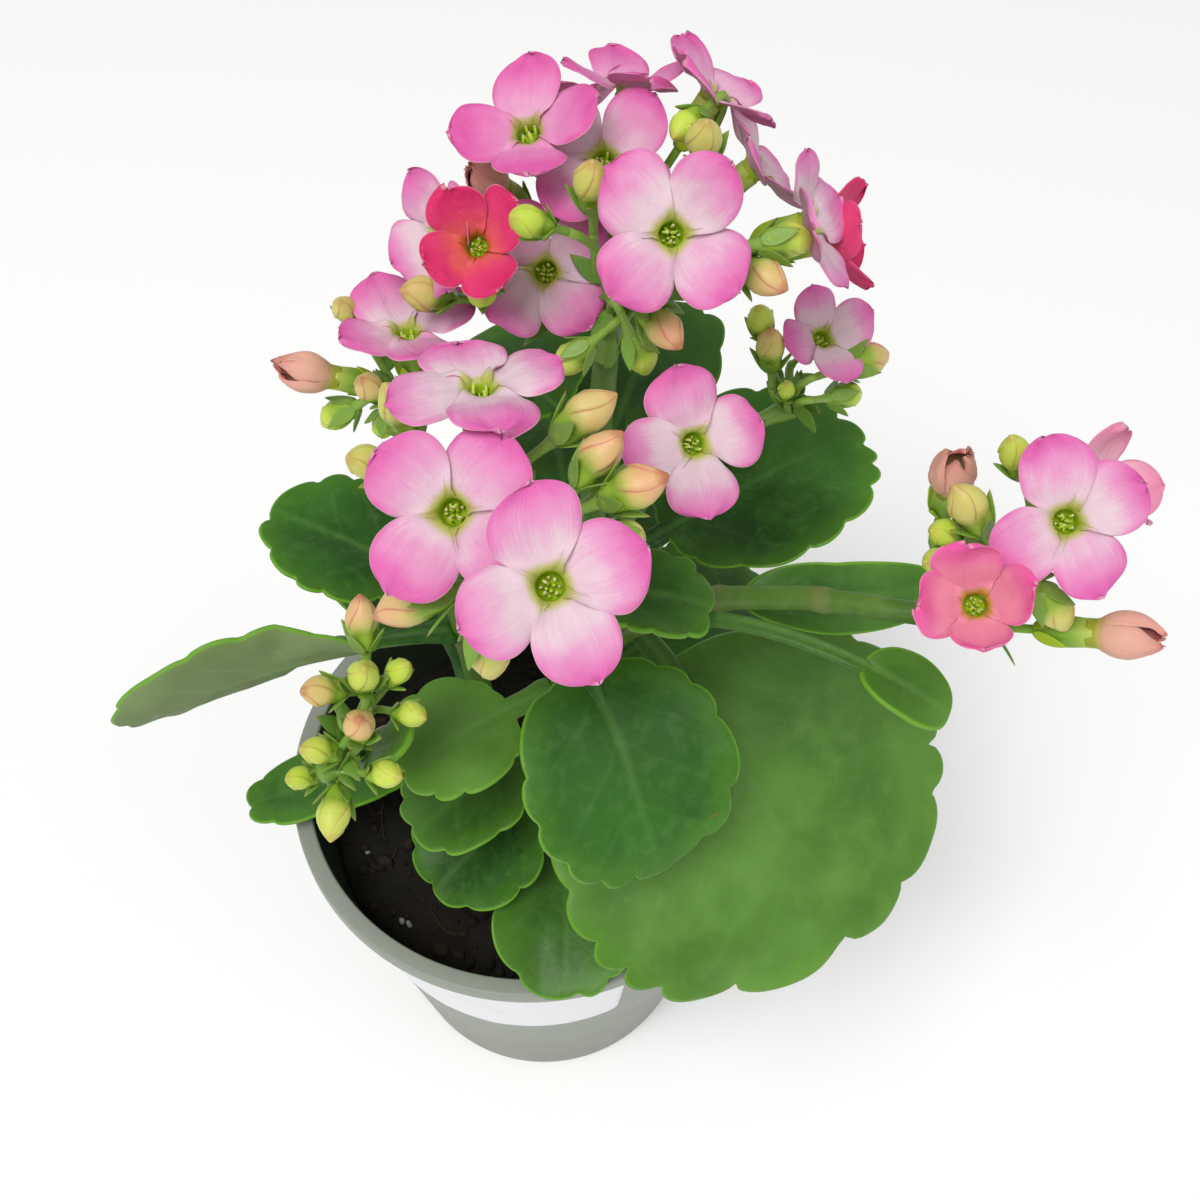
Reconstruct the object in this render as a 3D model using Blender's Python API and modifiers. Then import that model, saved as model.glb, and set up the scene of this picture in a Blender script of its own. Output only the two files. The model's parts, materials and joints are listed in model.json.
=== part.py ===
"""Potted kalanchoe: a tapered plastic nursery pot with its label, the soil in it, and the plant.

The plant is six shoots.  Each shoot ends in a cyme, a branched head that carries buds and has
flowers on its arms.  Leaves leave the shoots at the heights and azimuths given in LEAVES.

Frame: +Z up, origin at the middle of the pot's underside, -Y is the front.
An azimuth is in degrees from the front, growing towards +X.  Lengths are in millimetres and are
turned into metres where the meshes are made.
"""

import math

import bmesh
import bpy
from mathutils import Matrix, Vector

MM = 0.001
GAP = 0.3

# Pot
POT_HEIGHT = 96.0
POT_RIM_RADIUS = 55.0
POT_BASE_RADIUS = 38.0
POT_WALL = 1.2
RIM_BAND = 4.0
RIM_OVERHANG = 2.6
LIP_CHAMFER = 0.5
FOOT_RING_WIDTH = 5.0
BASE_PAD_RADIUS = 14.0
BASE_RISE = 3.0
POT_FACETS = 40
DRAIN_COUNT = 6
DRAIN_RADIUS = 3.5
DRAIN_TURN = 10.0

# Label on the pot's wall
LABEL_HEIGHT = 30.0
LABEL_BELOW_RIM_BAND = 10.0
LABEL_FROM = -92.0
LABEL_TO = 24.0
LABEL_THICKNESS = 0.4
LABEL_FACETS = 16

# Soil
SOIL_BELOW_RIM = 20.0
SOIL_CROWN = 3.0
SOIL_FACETS = 36
STEM_DEPTH = 12.0

# Leaves
LEAF_THICKNESS = 1.6
PETIOLE_WIDTH = 5.0
LEAF_ROWS = 8
LEAF_COLUMNS = 4
LEAF_CLEARANCE = 0.6

# Flowers and buds
PETAL_LENGTH = 9.6
PETAL_THICKNESS = 0.5
NOTCH_SHARE = 0.6
SHOULDER_SHARE = 0.95
THROAT_RADIUS = 1.9
TUBE_LENGTH = 9.5
PEDICEL_LENGTH = 8.0
PEDICEL_RADIUS = 0.7
ARM_RADIUS = 0.85
NECK_LENGTH = 6.0
HUB_RADIUS = 2.4
BUD_LENGTH = 9.0
BUD_RADIUS = 2.8
BUD_PEDICEL = 5.0

# The direction that a petal's roll is measured from, where it faces the front: back and up.
ROLL_UP = Vector((0.0, 0.8, 0.6))

# The plant's heights are measured from the pot's rim.
# name: (parent shoot or None, radius at the foot, radius at the top, centre line from foot to hub)
SHOOTS = {
    "shoot_top": (None, 3.6, 2.0, [(9, 10, -96), (9, 11, 14), (13, 11, 69), (16, 10, 118)]),
    "shoot_front": (None, 3.4, 2.0, [(7, -7, -96), (8, -8, 14), (8, -15, 69), (6, -30, 114)]),
    "shoot_left": (None, 3.0, 1.7, [(-8, 2, -96), (-10, 2, 14), (-14, 4, 64), (-17, 7, 102)]),
    "shoot_right": ("shoot_front", 2.4, 1.7, [(8, -10, 52), (26, -13, 78), (46, -24, 97), (70.5, -36.5, 108)]),
    "shoot_low_left": ("shoot_left", 2.2, 1.5, [(-10, 2, 14), (-20, -9, 32), (-27, -24, 52), (-31, -36, 64)]),
    "shoot_back_right": ("shoot_top", 2.2, 1.5, [(12, 11, 64), (26, 17, 77), (38, 23, 84), (46, 26, 86)]),
}

# name: (shoot, height, azimuth, rise at the stem, rise at the tip, petiole, blade, width, roll, cup)
LEAVES = {
    "leaf_front_large": ("shoot_top", 56, 36, 12, -54, 22, 67, 86, 0, -0.05),
    "leaf_front_middle": ("shoot_front", 87, 25, 6, -70, 8, 39, 37, 0, 0.04),
    "leaf_right_back": ("shoot_top", 56, 114, 24, 6, 14, 46, 44, 0, 0.06),
    "leaf_back_top": ("shoot_top", 86, 160, 24, 0, 8, 32, 32, 0, 0.08),
    "leaf_back_left": ("shoot_top", 96, -135, 14, -10, 6, 26, 26, 0, 0.08),
    "leaf_middle_right": ("shoot_front", 102, 80, 20, -20, 4, 20, 20, -10, 0.06),
    "leaf_left": ("shoot_left", 60, -106, 34, 10, 6, 30, 32, 10, 0.06),
    "leaf_left_long": ("shoot_left", 50, -68, 20, -14, 14, 52, 28, 74, 0.12),
    "leaf_low_left": ("shoot_left", 5, -75, 0, -6, 14, 38, 20, 8, 0.08),
    "leaf_bright_left": ("shoot_front", 52, -56, 14, -14, 8, 25, 26, 0, 0.06),
    "leaf_inner_left": ("shoot_front", 32, -50, 10, -14, 8, 27, 25, 0, 0.06),
    "leaf_inner_low": ("shoot_front", 12.4 + LEAF_THICKNESS, -44, 4, -20, 8, 28, 30, 0, 0.06),
    "leaf_rim_front": ("shoot_front", -1, 0, 30, -24, 8, 38, 32, 0, 0.16),
    "leaf_back_low": ("shoot_top", 32, 172, 26, -16, 12, 46, 42, 0, 0.08),
    "leaf_back_right_low": ("shoot_top", 12, 125, 20, -20, 12, 40, 38, 0, 0.08),
    "leaf_back_middle": ("shoot_top", 56, -168, 26, -4, 8, 34, 32, 0, 0.08),
    "leaf_back_left_low": ("shoot_left", 28, -150, 22, -14, 10, 42, 38, 0, 0.08),
    "bract_low_left": ("shoot_low_left", 60, 70, 60, 40, 3, 12, 12, 0, 0.10),
    "bract_right": ("shoot_right", 85, 94, -4, 4, 4, 36, 13, 50, 0.20),
    "bract_right_low": ("shoot_front", 76, 65, 62, -30, 58, 16, 12, 0, 0.15),
}

# name: (cyme, throat x, y, z, faces azimuth, faces elevation, roll, openness, size)
FLOWERS = {
    "flower_top_front": ("cyme_top", 6.5, 9.5, 136.5, -8, 46, 38, 1.0, 1.0),
    "flower_top_front_right": ("cyme_top", 25, -3, 154, 8, 44, -38, 1.0, 1.03),
    "flower_top_left_high": ("cyme_top", 4.5, 16.5, 156.5, -30, 72, 10, 0.72, 0.96),
    "flower_top_middle": ("cyme_top", 15.5, 17, 151.5, 0, 66, 45, 0.92, 0.96),
    "flower_top_left": ("cyme_top", -8.5, 10.5, 143, -50, 30, 20, 0.8, 0.9),
    "flower_top_left_red": ("cyme_top", -3, 3, 147, -10, 52, 30, 0.58, 0.85),
    "flower_top_back": ("cyme_top", 19.5, 30.5, 154.5, 165, 62, 0, 0.75, 0.95),
    "flower_top_back_right": ("cyme_top", 32, 26.5, 156, 120, 52, 10, 0.85, 0.95),
    "flower_top_right_high": ("cyme_top", 39, 23, 145.5, 100, 38, 0, 0.85, 0.95),
    "flower_top_right": ("cyme_top", 46.5, 11.5, 144, 80, 30, 20, 0.85, 0.95),
    "flower_top_right_red": ("cyme_top", 50.5, 20, 133.5, 88, 12, 0, 0.5, 0.95),
    "flower_top_back_left": ("cyme_top", 10, 36, 146, -160, 50, 20, 0.7, 0.95),
    "flower_top_left_bud": ("cyme_top", -1, 21, 144, -50, 52, 0, 0.1, 0.9),
    "flower_left": ("cyme_left", -15.5, 5.5, 127.5, 180, 82, 30, 0.97, 0.98),
    "flower_left_bud": ("cyme_left", -29.5, 5, 118.5, -80, 24, 0, 0.25, 0.9),
    "flower_front_high": ("cyme_front", -1, -26, 147, 180, 76, 20, 0.95, 1.03),
    "flower_front_left": ("cyme_front", -4, -44, 143, -10, 52, 48, 1.0, 1.06),
    "flower_front_low": ("cyme_front", 9, -58, 146, 5, 56, 22, 1.0, 1.05),
    "flower_front_right": ("cyme_front", 29.5, -12.5, 121.5, 22, 48, 15, 1.0, 1.0),
    "flower_back_right": ("cyme_back_right", 55, 27.5, 105.5, 30, 60, 20, 0.75, 0.85),
    "flower_right_front": ("cyme_right", 78, -39, 135, -5, 54, 25, 1.0, 0.97),
    "flower_right_cup": ("cyme_right", 65.5, -48.5, 129, -15, 60, 10, 0.55, 0.85),
    "flower_right_back": ("cyme_right", 86, -27, 128, 70, 50, 0, 0.55, 0.85),
    "flower_right_bud": ("cyme_right", 86, -46, 118.5, 70, 20, 0, 0.22, 0.95),
    "flower_right_tall_bud": ("cyme_right", 66, -25, 126.5, -20, 78, 0, 0.2, 0.95),
}

# cyme: [(bud base x, y, z, points azimuth, points elevation, size)]
BUDS = {
    "cyme_top": [
        (14, 5.5, 151.5, -2, 80, 1.0),
        (8, -1.5, 154, -52, 38, 0.85),
        (-3, 5, 137.5, 8, 28, 0.85),
        (-8, 7.5, 133, -60, 32, 1.0),
        (21.5, 0, 137.5, 34, -2, 1.0),
        (19.5, 0, 132.5, 92, -72, 0.95),
        (13.5, -0.5, 131, -94, -50, 0.9),
        (38, 1.5, 148.5, 116, -16, 1.0),
        (35.5, 3, 143.5, 42, 8, 1.0),
        (29.5, 17.5, 159, -32, 4, 0.8),
        (30, 9, 157, -10, 72, 0.95),
    ],
    "cyme_left": [
        (-25.5, 3.5, 113, -104, -42, 0.95),
        (-21, 2.5, 112.5, -140, -78, 0.75),
        (-20.5, 2, 116.5, -38, 62, 0.85),
        (-25, 11, 125, -20, 66, 0.75),
    ],
    "cyme_front": [
        (9, -28.5, 140, 104, 38, 1.1),
        (12, -35, 138, 110, 52, 1.05),
        (15.5, -37.5, 137.5, 82, 38, 1.1),
        (15.5, -42.5, 137, 116, -42, 0.85),
        (-10.5, -26, 138, -106, 68, 1.0),
        (-13.5, -32.5, 138, -52, 48, 0.9),
        (-4.5, -47.5, 131, -78, -16, 1.2),
        (-1, -52, 130, 26, -76, 1.1),
    ],
    "cyme_low_left": [
        (-24, -28.5, 88.5, -178, 62, 1.05),
        (-24.5, -32, 82.5, 32, 74, 1.0),
        (-28, -33, 82.5, -56, 42, 0.95),
        (-20.5, -30.5, 81.5, 84, 60, 0.8),
        (-25.5, -38, 76.5, 30, 74, 1.0),
        (-20, -33, 76, 56, 32, 0.85),
        (-30, -38.5, 71, -64, 48, 0.9),
        (-24, -42.5, 71.5, 60, 36, 0.9),
        (-35, -38.5, 63, -48, 46, 0.8),
        (-30.5, -42, 66, 0, 2, 1.1),
    ],
    "cyme_back_right": [
        (44.5, 27.5, 105.5, -66, 76, 0.9),
        (46, 24, 101.5, -94, 84, 1.0),
        (58.5, 23, 102.5, 122, -10, 1.15),
        (56.5, 20, 98, 126, -26, 0.95),
        (49, 20.5, 97.5, -22, 70, 0.6),
    ],
    "cyme_right": [
        (68, -37, 130.5, -104, 54, 1.0),
        (66, -35.5, 127, -70, 36, 0.75),
        (65.5, -38, 124.5, -66, 30, 0.75),
        (75.5, -43, 125.5, 66, -48, 0.95),
        (74.5, -28.5, 132.5, -98, 66, 0.85),
    ],
}
CYME_OF_SHOOT = {"shoot_" + key: "cyme_" + key for key in ("top", "front", "left", "right", "low_left", "back_right")}

GREEN_LEAF = ("leaf", (0.055, 0.18, 0.03), 0.45)
GREEN_STEM = ("stem", (0.16, 0.3, 0.06), 0.5)
BUD_GREEN = ("bud", (0.45, 0.55, 0.12), 0.5)
PETAL_PINK = ("petal", (0.85, 0.32, 0.6), 0.55)
POT_GREY = ("pot", (0.3, 0.35, 0.32), 0.5)
LABEL_WHITE = ("label", (0.85, 0.85, 0.88), 0.4)
SOIL_BROWN = ("soil", (0.03, 0.02, 0.015), 0.95)


def material(finish):
    name, colour, roughness = finish
    made = bpy.data.materials.get(name) or bpy.data.materials.new(name)
    made.use_nodes = True
    shader = made.node_tree.nodes["Principled BSDF"]
    shader.inputs["Base Color"].default_value = (*colour, 1.0)
    shader.inputs["Roughness"].default_value = roughness
    shader.inputs["Metallic"].default_value = 0.0
    return made


def collection(name):
    made = bpy.data.collections.new(name)
    bpy.context.scene.collection.children.link(made)
    return made


def add_object(name, data, finish, home):
    made = bpy.data.objects.new(name, data)
    home.objects.link(made)
    if finish:
        data.materials.append(material(finish))
    return made


def mesh_from(name, points, faces, finish, home):
    """A mesh object from points in millimetres, its faces turned to point outwards."""
    mesh = bpy.data.meshes.new(name)
    mesh.from_pydata([[c * MM for c in p] for p in points], [], faces)
    bm = bmesh.new()
    bm.from_mesh(mesh)
    bmesh.ops.recalc_face_normals(bm, faces=bm.faces)
    bm.to_mesh(mesh)
    bm.free()
    return add_object(name, mesh, finish, home)


def smooth_round(obj, angle=40):
    obj.data.shade_smooth()
    obj.data.set_sharp_from_angle(angle=math.radians(angle))


def facing(azimuth, elevation):
    """The unit vector that points to this azimuth and elevation."""
    a, e = math.radians(azimuth), math.radians(elevation)
    return Vector((math.sin(a) * math.cos(e), -math.cos(a) * math.cos(e), math.sin(e)))


def frame_along(axis, roll=0.0):
    """Rotation that takes +Z to axis, and +Y to ROLL_UP as seen along it, turned by roll."""
    up = ROLL_UP - axis * ROLL_UP.dot(axis)
    up.normalize()
    side = up.cross(axis)
    turn = Matrix((side, up, axis)).transposed()
    return turn @ Matrix.Rotation(math.radians(roll), 3, "Z")


def curve_through(points, per_span=4):
    """Points along the smooth Catmull-Rom curve through the given ones."""
    p = [Vector(q) for q in points]
    p = [p[0] * 2 - p[1], *p, p[-1] * 2 - p[-2]]
    made = []
    for i in range(1, len(p) - 2):
        for k in range(per_span):
            t = k / per_span
            made.append(
                0.5
                * (
                    2 * p[i]
                    + (p[i + 1] - p[i - 1]) * t
                    + (2 * p[i - 1] - 5 * p[i] + 4 * p[i + 1] - p[i + 2]) * t * t
                    + (3 * p[i] - p[i - 1] - 3 * p[i + 1] + p[i + 2]) * t**3
                )
            )
    made.append(p[-2])
    return made


def tube(name, path, radii, finish, home, bevel_resolution=2):
    """A round tube along path as a beveled curve, radii giving its radius at each point."""
    curve = bpy.data.curves.new(name, "CURVE")
    curve.dimensions = "3D"
    curve.bevel_depth = MM
    curve.bevel_resolution = bevel_resolution
    curve.use_fill_caps = True
    spline = curve.splines.new("POLY")
    spline.points.add(len(path) - 1)
    for point, place, radius in zip(spline.points, path, radii):
        point.co = (*(place * MM), 1.0)
        point.radius = radius
    return add_object(name, curve, finish, home)


def to_mesh(obj):
    """Replaces a curve object by its evaluated mesh, with the loose caps welded on."""
    bpy.context.view_layer.update()
    graph = bpy.context.evaluated_depsgraph_get()
    mesh = bpy.data.meshes.new_from_object(obj.evaluated_get(graph))
    bm = bmesh.new()
    bm.from_mesh(mesh)
    bmesh.ops.remove_doubles(bm, verts=bm.verts, dist=1e-6)
    bmesh.ops.recalc_face_normals(bm, faces=bm.faces)
    bm.to_mesh(mesh)
    bm.free()
    name, home, place = obj.name, obj.users_collection[0], obj.matrix_world.copy()
    bpy.data.objects.remove(obj)
    made = bpy.data.objects.new(name, mesh)
    home.objects.link(made)
    made.matrix_world = place
    return made


def turned(name, profile, facets, finish, home):
    """A body turned about Z from (radius, height) points, which run down its outer side."""
    mesh = bpy.data.meshes.new(name)
    points = [(r * MM, 0.0, z * MM) for r, z in profile]
    mesh.from_pydata(points, [(i, i + 1) for i in range(len(points) - 1)], [])
    made = add_object(name, mesh, finish, home)
    screw = made.modifiers.new("turn", "SCREW")
    screw.axis = "Z"
    screw.steps = facets
    screw.render_steps = facets
    screw.use_merge_vertices = True
    screw.merge_threshold = 0.00001
    return made


def cut(obj, cutter):
    cutter.hide_render = True
    cutter.display_type = "WIRE"
    boolean = obj.modifiers.new("cut_" + cutter.name, "BOOLEAN")
    boolean.operation = "DIFFERENCE"
    boolean.solver = "EXACT"
    boolean.object = cutter


# Pot, label and soil


def wall_radius(height):
    """Outer radius of the pot's wall at this height."""
    top = POT_RIM_RADIUS - RIM_OVERHANG
    return POT_BASE_RADIUS + (top - POT_BASE_RADIUS) * height / POT_HEIGHT


def make_pot(home, cutters):
    band_foot = POT_HEIGHT - RIM_BAND
    inner_top = wall_radius(POT_HEIGHT) - POT_WALL
    channel_outer = POT_BASE_RADIUS - FOOT_RING_WIDTH
    floor = BASE_RISE + POT_WALL
    profile = [
        (0, POT_WALL),
        (BASE_PAD_RADIUS - POT_WALL, POT_WALL),
        (BASE_PAD_RADIUS, floor),
        (channel_outer, floor),
        (channel_outer + POT_WALL, POT_WALL),
        (wall_radius(POT_WALL) - POT_WALL, POT_WALL),
        (inner_top, POT_HEIGHT - LIP_CHAMFER),
        (inner_top + LIP_CHAMFER, POT_HEIGHT),
        (POT_RIM_RADIUS - LIP_CHAMFER, POT_HEIGHT),
        (POT_RIM_RADIUS, POT_HEIGHT - LIP_CHAMFER),
        (POT_RIM_RADIUS, band_foot),
        (wall_radius(band_foot), band_foot),
        (wall_radius(POT_WALL), POT_WALL),
        (POT_BASE_RADIUS - POT_WALL, 0),
        (channel_outer, 0),
        (channel_outer - POT_WALL, BASE_RISE),
        (BASE_PAD_RADIUS + POT_WALL, BASE_RISE),
        (BASE_PAD_RADIUS, 0),
        (0, 0),
    ]
    pot = turned("pot", profile, POT_FACETS, POT_GREY, home)
    ring = (BASE_PAD_RADIUS + channel_outer) / 2
    for k in range(DRAIN_COUNT):
        drill = bmesh.new()
        bmesh.ops.create_cone(
            drill,
            cap_ends=True,
            segments=12,
            radius1=DRAIN_RADIUS * MM,
            radius2=DRAIN_RADIUS * MM,
            depth=4 * floor * MM,
        )
        mesh = bpy.data.meshes.new(f"drain_{k + 1}")
        drill.to_mesh(mesh)
        drill.free()
        cutter = add_object(mesh.name, mesh, None, cutters)
        cutter.location = facing(360 / DRAIN_COUNT * k + DRAIN_TURN, 0) * ring * MM
        cut(pot, cutter)
    return pot


def make_label(home):
    """A straight paper strip wrapped round part of the wall, so on this cone it rises to its ends."""
    top = POT_HEIGHT - RIM_BAND - LABEL_BELOW_RIM_BAND
    taper = (wall_radius(POT_HEIGHT) - POT_BASE_RADIUS) / POT_HEIGHT
    middle = (LABEL_FROM + LABEL_TO) / 2
    points = []
    for height in (top, top - LABEL_HEIGHT):
        for k in range(LABEL_FACETS + 1):
            azimuth = LABEL_FROM + (LABEL_TO - LABEL_FROM) * k / LABEL_FACETS
            unrolled = math.radians(azimuth - middle) * taper
            here = height + wall_radius(height) / taper * (1 / math.cos(unrolled) - 1)
            points.append(facing(azimuth, 0) * (wall_radius(here) + GAP) + Vector((0, 0, here)))
    row = LABEL_FACETS + 1
    faces = [(k, k + 1, row + k + 1, row + k) for k in range(LABEL_FACETS)]
    label = mesh_from("label", points, faces, LABEL_WHITE, home)
    solidify = label.modifiers.new("thickness", "SOLIDIFY")
    solidify.thickness = LABEL_THICKNESS * MM
    outward = label.data.polygons[0].normal.dot(label.data.polygons[0].center) > 0
    solidify.offset = 1.0 if outward else -1.0
    return label


def make_soil(home):
    """The root ball, filling the pot to a little below its rim, with a socket for each stem."""
    surface = POT_HEIGHT - SOIL_BELOW_RIM
    floor = BASE_RISE + POT_WALL + GAP
    inset = POT_WALL + 2 * GAP
    edge = wall_radius(surface) - inset
    profile = [
        (0, surface + SOIL_CROWN),
        (edge * 0.45, surface + SOIL_CROWN * 0.8),
        (edge * 0.8, surface + SOIL_CROWN * 0.3),
        (edge, surface),
        (wall_radius(floor) - inset, floor),
        (0, floor),
    ]
    return turned("soil", profile, SOIL_FACETS, SOIL_BROWN, home)


# Shoots and leaves


def above_rim(x, y, z):
    """A place in the plant, its height being measured from the pot's rim."""
    return Vector((x, y, POT_HEIGHT + z))


def shoot_line(name):
    """(points, radii) of a shoot, from its foot to its hub.  A stem in the soil starts at
    STEM_DEPTH below the surface, and a side shoot just outside its parent."""
    parent, foot_radius, top_radius, line = SHOOTS[name]
    path = curve_through([above_rim(*point) for point in line])
    if parent is None:
        foot = POT_HEIGHT - SOIL_BELOW_RIM - STEM_DEPTH
        path = [p for p in path if p.z > foot + 2]
        path.insert(0, Vector((path[0].x, path[0].y, foot)))
    else:
        centre, radius = shoot_at(parent, POT_HEIGHT + line[0][2])
        along = (path[1] - path[0]).normalized()
        start = (radius + foot_radius * along.z + 2 * GAP) / math.hypot(along.x, along.y)
        path = [p for p in path if (p - centre).dot(along) > start + 1]
        path.insert(0, centre + along * start)
    count = len(path) - 1
    return path, [foot_radius + (top_radius - foot_radius) * k / count for k in range(count + 1)]


def make_shoot(name, home, soil, cutters):
    path, radii = shoot_line(name)
    if SHOOTS[name][0] is None:
        top = POT_HEIGHT - SOIL_BELOW_RIM + 2 * SOIL_CROWN
        socket_line = [path[0] - Vector((0, 0, GAP)), *[p for p in path[1:] if p.z < top + 14]]
        wide = [r + GAP for r in radii[: len(socket_line)]]
        socket = to_mesh(tube("socket_" + name, socket_line, wide, None, cutters))
        cut(soil, socket)
    return tube(name, path, radii, GREEN_STEM, home)


def shoot_at(name, height):
    """(centre, radius) of a shoot at this height."""
    path, radii = shoot_line(name)
    for a, b, ra, rb in zip(path, path[1:], radii, radii[1:]):
        if a.z <= height <= b.z:
            t = (height - a.z) / (b.z - a.z)
            return a.lerp(b, t), ra + (rb - ra) * t
    raise ValueError(f"{name} does not pass height {height}")


def leaf_half_width(share, petiole, blade, width):
    """Half the leaf's width at this share of its length: a narrow petiole that opens into a
    broad, nearly round blade."""
    along = share * (petiole + blade)
    if along <= petiole:
        return PETIOLE_WIDTH / 2 * min(1.0, width / 20)
    x = (along - petiole) / blade
    round_part = math.sqrt(max(0.0, 1 - (2 * x - 1) ** 2)) ** 0.8
    return max(PETIOLE_WIDTH / 2 * min(1.0, width / 20) * (1 - x), width / 2 * round_part)


def make_leaf(name, home):
    shoot, height, azimuth, rise, tip_rise, petiole, blade, width, roll, cup = LEAVES[name]
    centre, radius = shoot_at(shoot, POT_HEIGHT + height)
    out = facing(azimuth, 0)
    place = centre + out * (radius + LEAF_THICKNESS / 2 + LEAF_CLEARANCE)
    side = Vector((0, 0, 1)).cross(out)
    shares = [k / LEAF_ROWS for k in range(LEAF_ROWS)] + [0.985]
    points, last = [], 0.0
    for share in shares:
        bend = math.radians(rise + (tip_rise - rise) * (share + last) / 2)
        step = (share - last) * (petiole + blade)
        place = place + (out * math.cos(bend) + Vector((0, 0, 1)) * math.sin(bend)) * step
        last = share
        here = math.radians(rise + (tip_rise - rise) * share)
        along = out * math.cos(here) + Vector((0, 0, 1)) * math.sin(here)
        turn = Matrix.Rotation(math.radians(roll) * min(1.0, 2 * share), 3, along)
        across = turn @ side
        normal = along.cross(across)
        half = leaf_half_width(share, petiole, blade, width)
        for c in range(LEAF_COLUMNS + 1):
            t = 2 * c / LEAF_COLUMNS - 1
            lift = cup * width * (t * half / (width / 2)) ** 2
            points.append(place + across * t * half + normal * lift * (1 if normal.z > 0 else -1))
    row = LEAF_COLUMNS + 1
    faces = []
    for r in range(len(shares) - 1):
        for c in range(LEAF_COLUMNS):
            a = r * row + c
            faces.append((a, a + 1, a + row + 1, a + row))
    leaf = mesh_from(name, points, faces, GREEN_LEAF, home)
    smooth_round(leaf)
    solidify = leaf.modifiers.new("thickness", "SOLIDIFY")
    solidify.thickness = LEAF_THICKNESS * MM
    solidify.offset = 0.0
    return leaf


# Flowers


def petal_reach(k):
    """How far a direction reaches along the petals, as a share: tips, shoulders and notches."""
    return (1.0, SHOULDER_SHARE, NOTCH_SHARE, SHOULDER_SHARE)[k % 4]


def petal_point(along, openness):
    """(radius, height, slope) on the petals' middle surface, along being a length from the throat."""
    first, last = openness * math.radians(66), openness * math.radians(100)
    steps = 6
    radius, height, slope = THROAT_RADIUS, 0.0, first
    for k in range(steps):
        slope = first + (last - first) * (k + 0.5) / steps * along / PETAL_LENGTH
        radius += math.sin(slope) * along / steps
        height += math.cos(slope) * along / steps
    return radius, height, slope


def make_flower(name, home):
    """Pedicel, calyx, tube and four joined petals, as one loft of rings round its axis."""
    cyme, x, y, z, azimuth, elevation, roll, openness, size = FLOWERS[name]
    foot = -(TUBE_LENGTH + PEDICEL_LENGTH)
    rings = [
        (8, [(PEDICEL_RADIUS, foot)] * 8),
        (8, [(PEDICEL_RADIUS, -TUBE_LENGTH)] * 8),
        (8, [(THROAT_RADIUS + 0.5, -0.62 * TUBE_LENGTH)] * 8),
        (8, [(THROAT_RADIUS, -0.8)] * 8),
    ]
    for share, side in ((0.55, -1), (1.0, 0), (0.55, 1)):
        ring = []
        for k in range(16):
            radius, height, slope = petal_point(share * petal_reach(k) * PETAL_LENGTH, openness)
            lift = side * PETAL_THICKNESS / 2
            ring.append((radius - lift * math.cos(slope), height + lift * math.sin(slope)))
        rings.append((16, ring))
    rings += [(8, [(THROAT_RADIUS - 0.6, 0.0)] * 8), (8, [(THROAT_RADIUS - 1.0, -3.0)] * 8)]
    points, faces, starts = [], [], []
    for count, ring in rings:
        starts.append(len(points))
        for k, (radius, height) in enumerate(ring):
            a = 2 * math.pi * k / count
            points.append(Vector((radius * math.sin(a), radius * math.cos(a), height)))
    for (count, _), (following, _), a0, b0 in zip(rings, rings[1:], starts, starts[1:]):
        for k in range(min(count, following)):
            n = (k + 1) % min(count, following)
            if count == following:
                faces.append((a0 + k, a0 + n, b0 + n, b0 + k))
            else:
                few, many = (a0, b0) if count < following else (b0, a0)
                m = [many + 2 * k, many + 2 * k + 1, many + (2 * k + 2) % 16]
                faces += [(few + k, m[0], m[1]), (few + k, m[1], few + n), (few + n, m[1], m[2])]
    faces += [tuple(range(8)), tuple(starts[-1] + k for k in range(8))]
    turn = frame_along(facing(azimuth, elevation), roll)
    centre = above_rim(x, y, z)
    flower = mesh_from(name, [centre + turn @ p * size for p in points], faces, PETAL_PINK, home)
    smooth_round(flower)
    return flower


def pedicel_foot(name):
    _, x, y, z, azimuth, elevation, _, _, size = FLOWERS[name]
    axis = facing(azimuth, elevation)
    return above_rim(x, y, z) - axis * (TUBE_LENGTH + PEDICEL_LENGTH) * size, axis


# Cymes: the branched heads


def arm_line(hub, end, axis, bow=0.45, points=4):
    """A branch from the hub that ends at end, running along axis."""
    pull = (end - hub).length * bow
    first, second = hub + (end - hub) * 0.3, end - axis * pull
    made = []
    for k in range(points):
        t = k / (points - 1)
        made.append(
            hub * (1 - t) ** 3
            + first * 3 * t * (1 - t) ** 2
            + second * 3 * t * t * (1 - t)
            + end * t**3
        )
    return made


def hub_of(shoot):
    """The middle of the hub that a shoot's cyme branches from."""
    path, _ = shoot_line(shoot)
    return path[-1] + (path[-1] - path[-2]).normalized() * (GAP + NECK_LENGTH)


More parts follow.
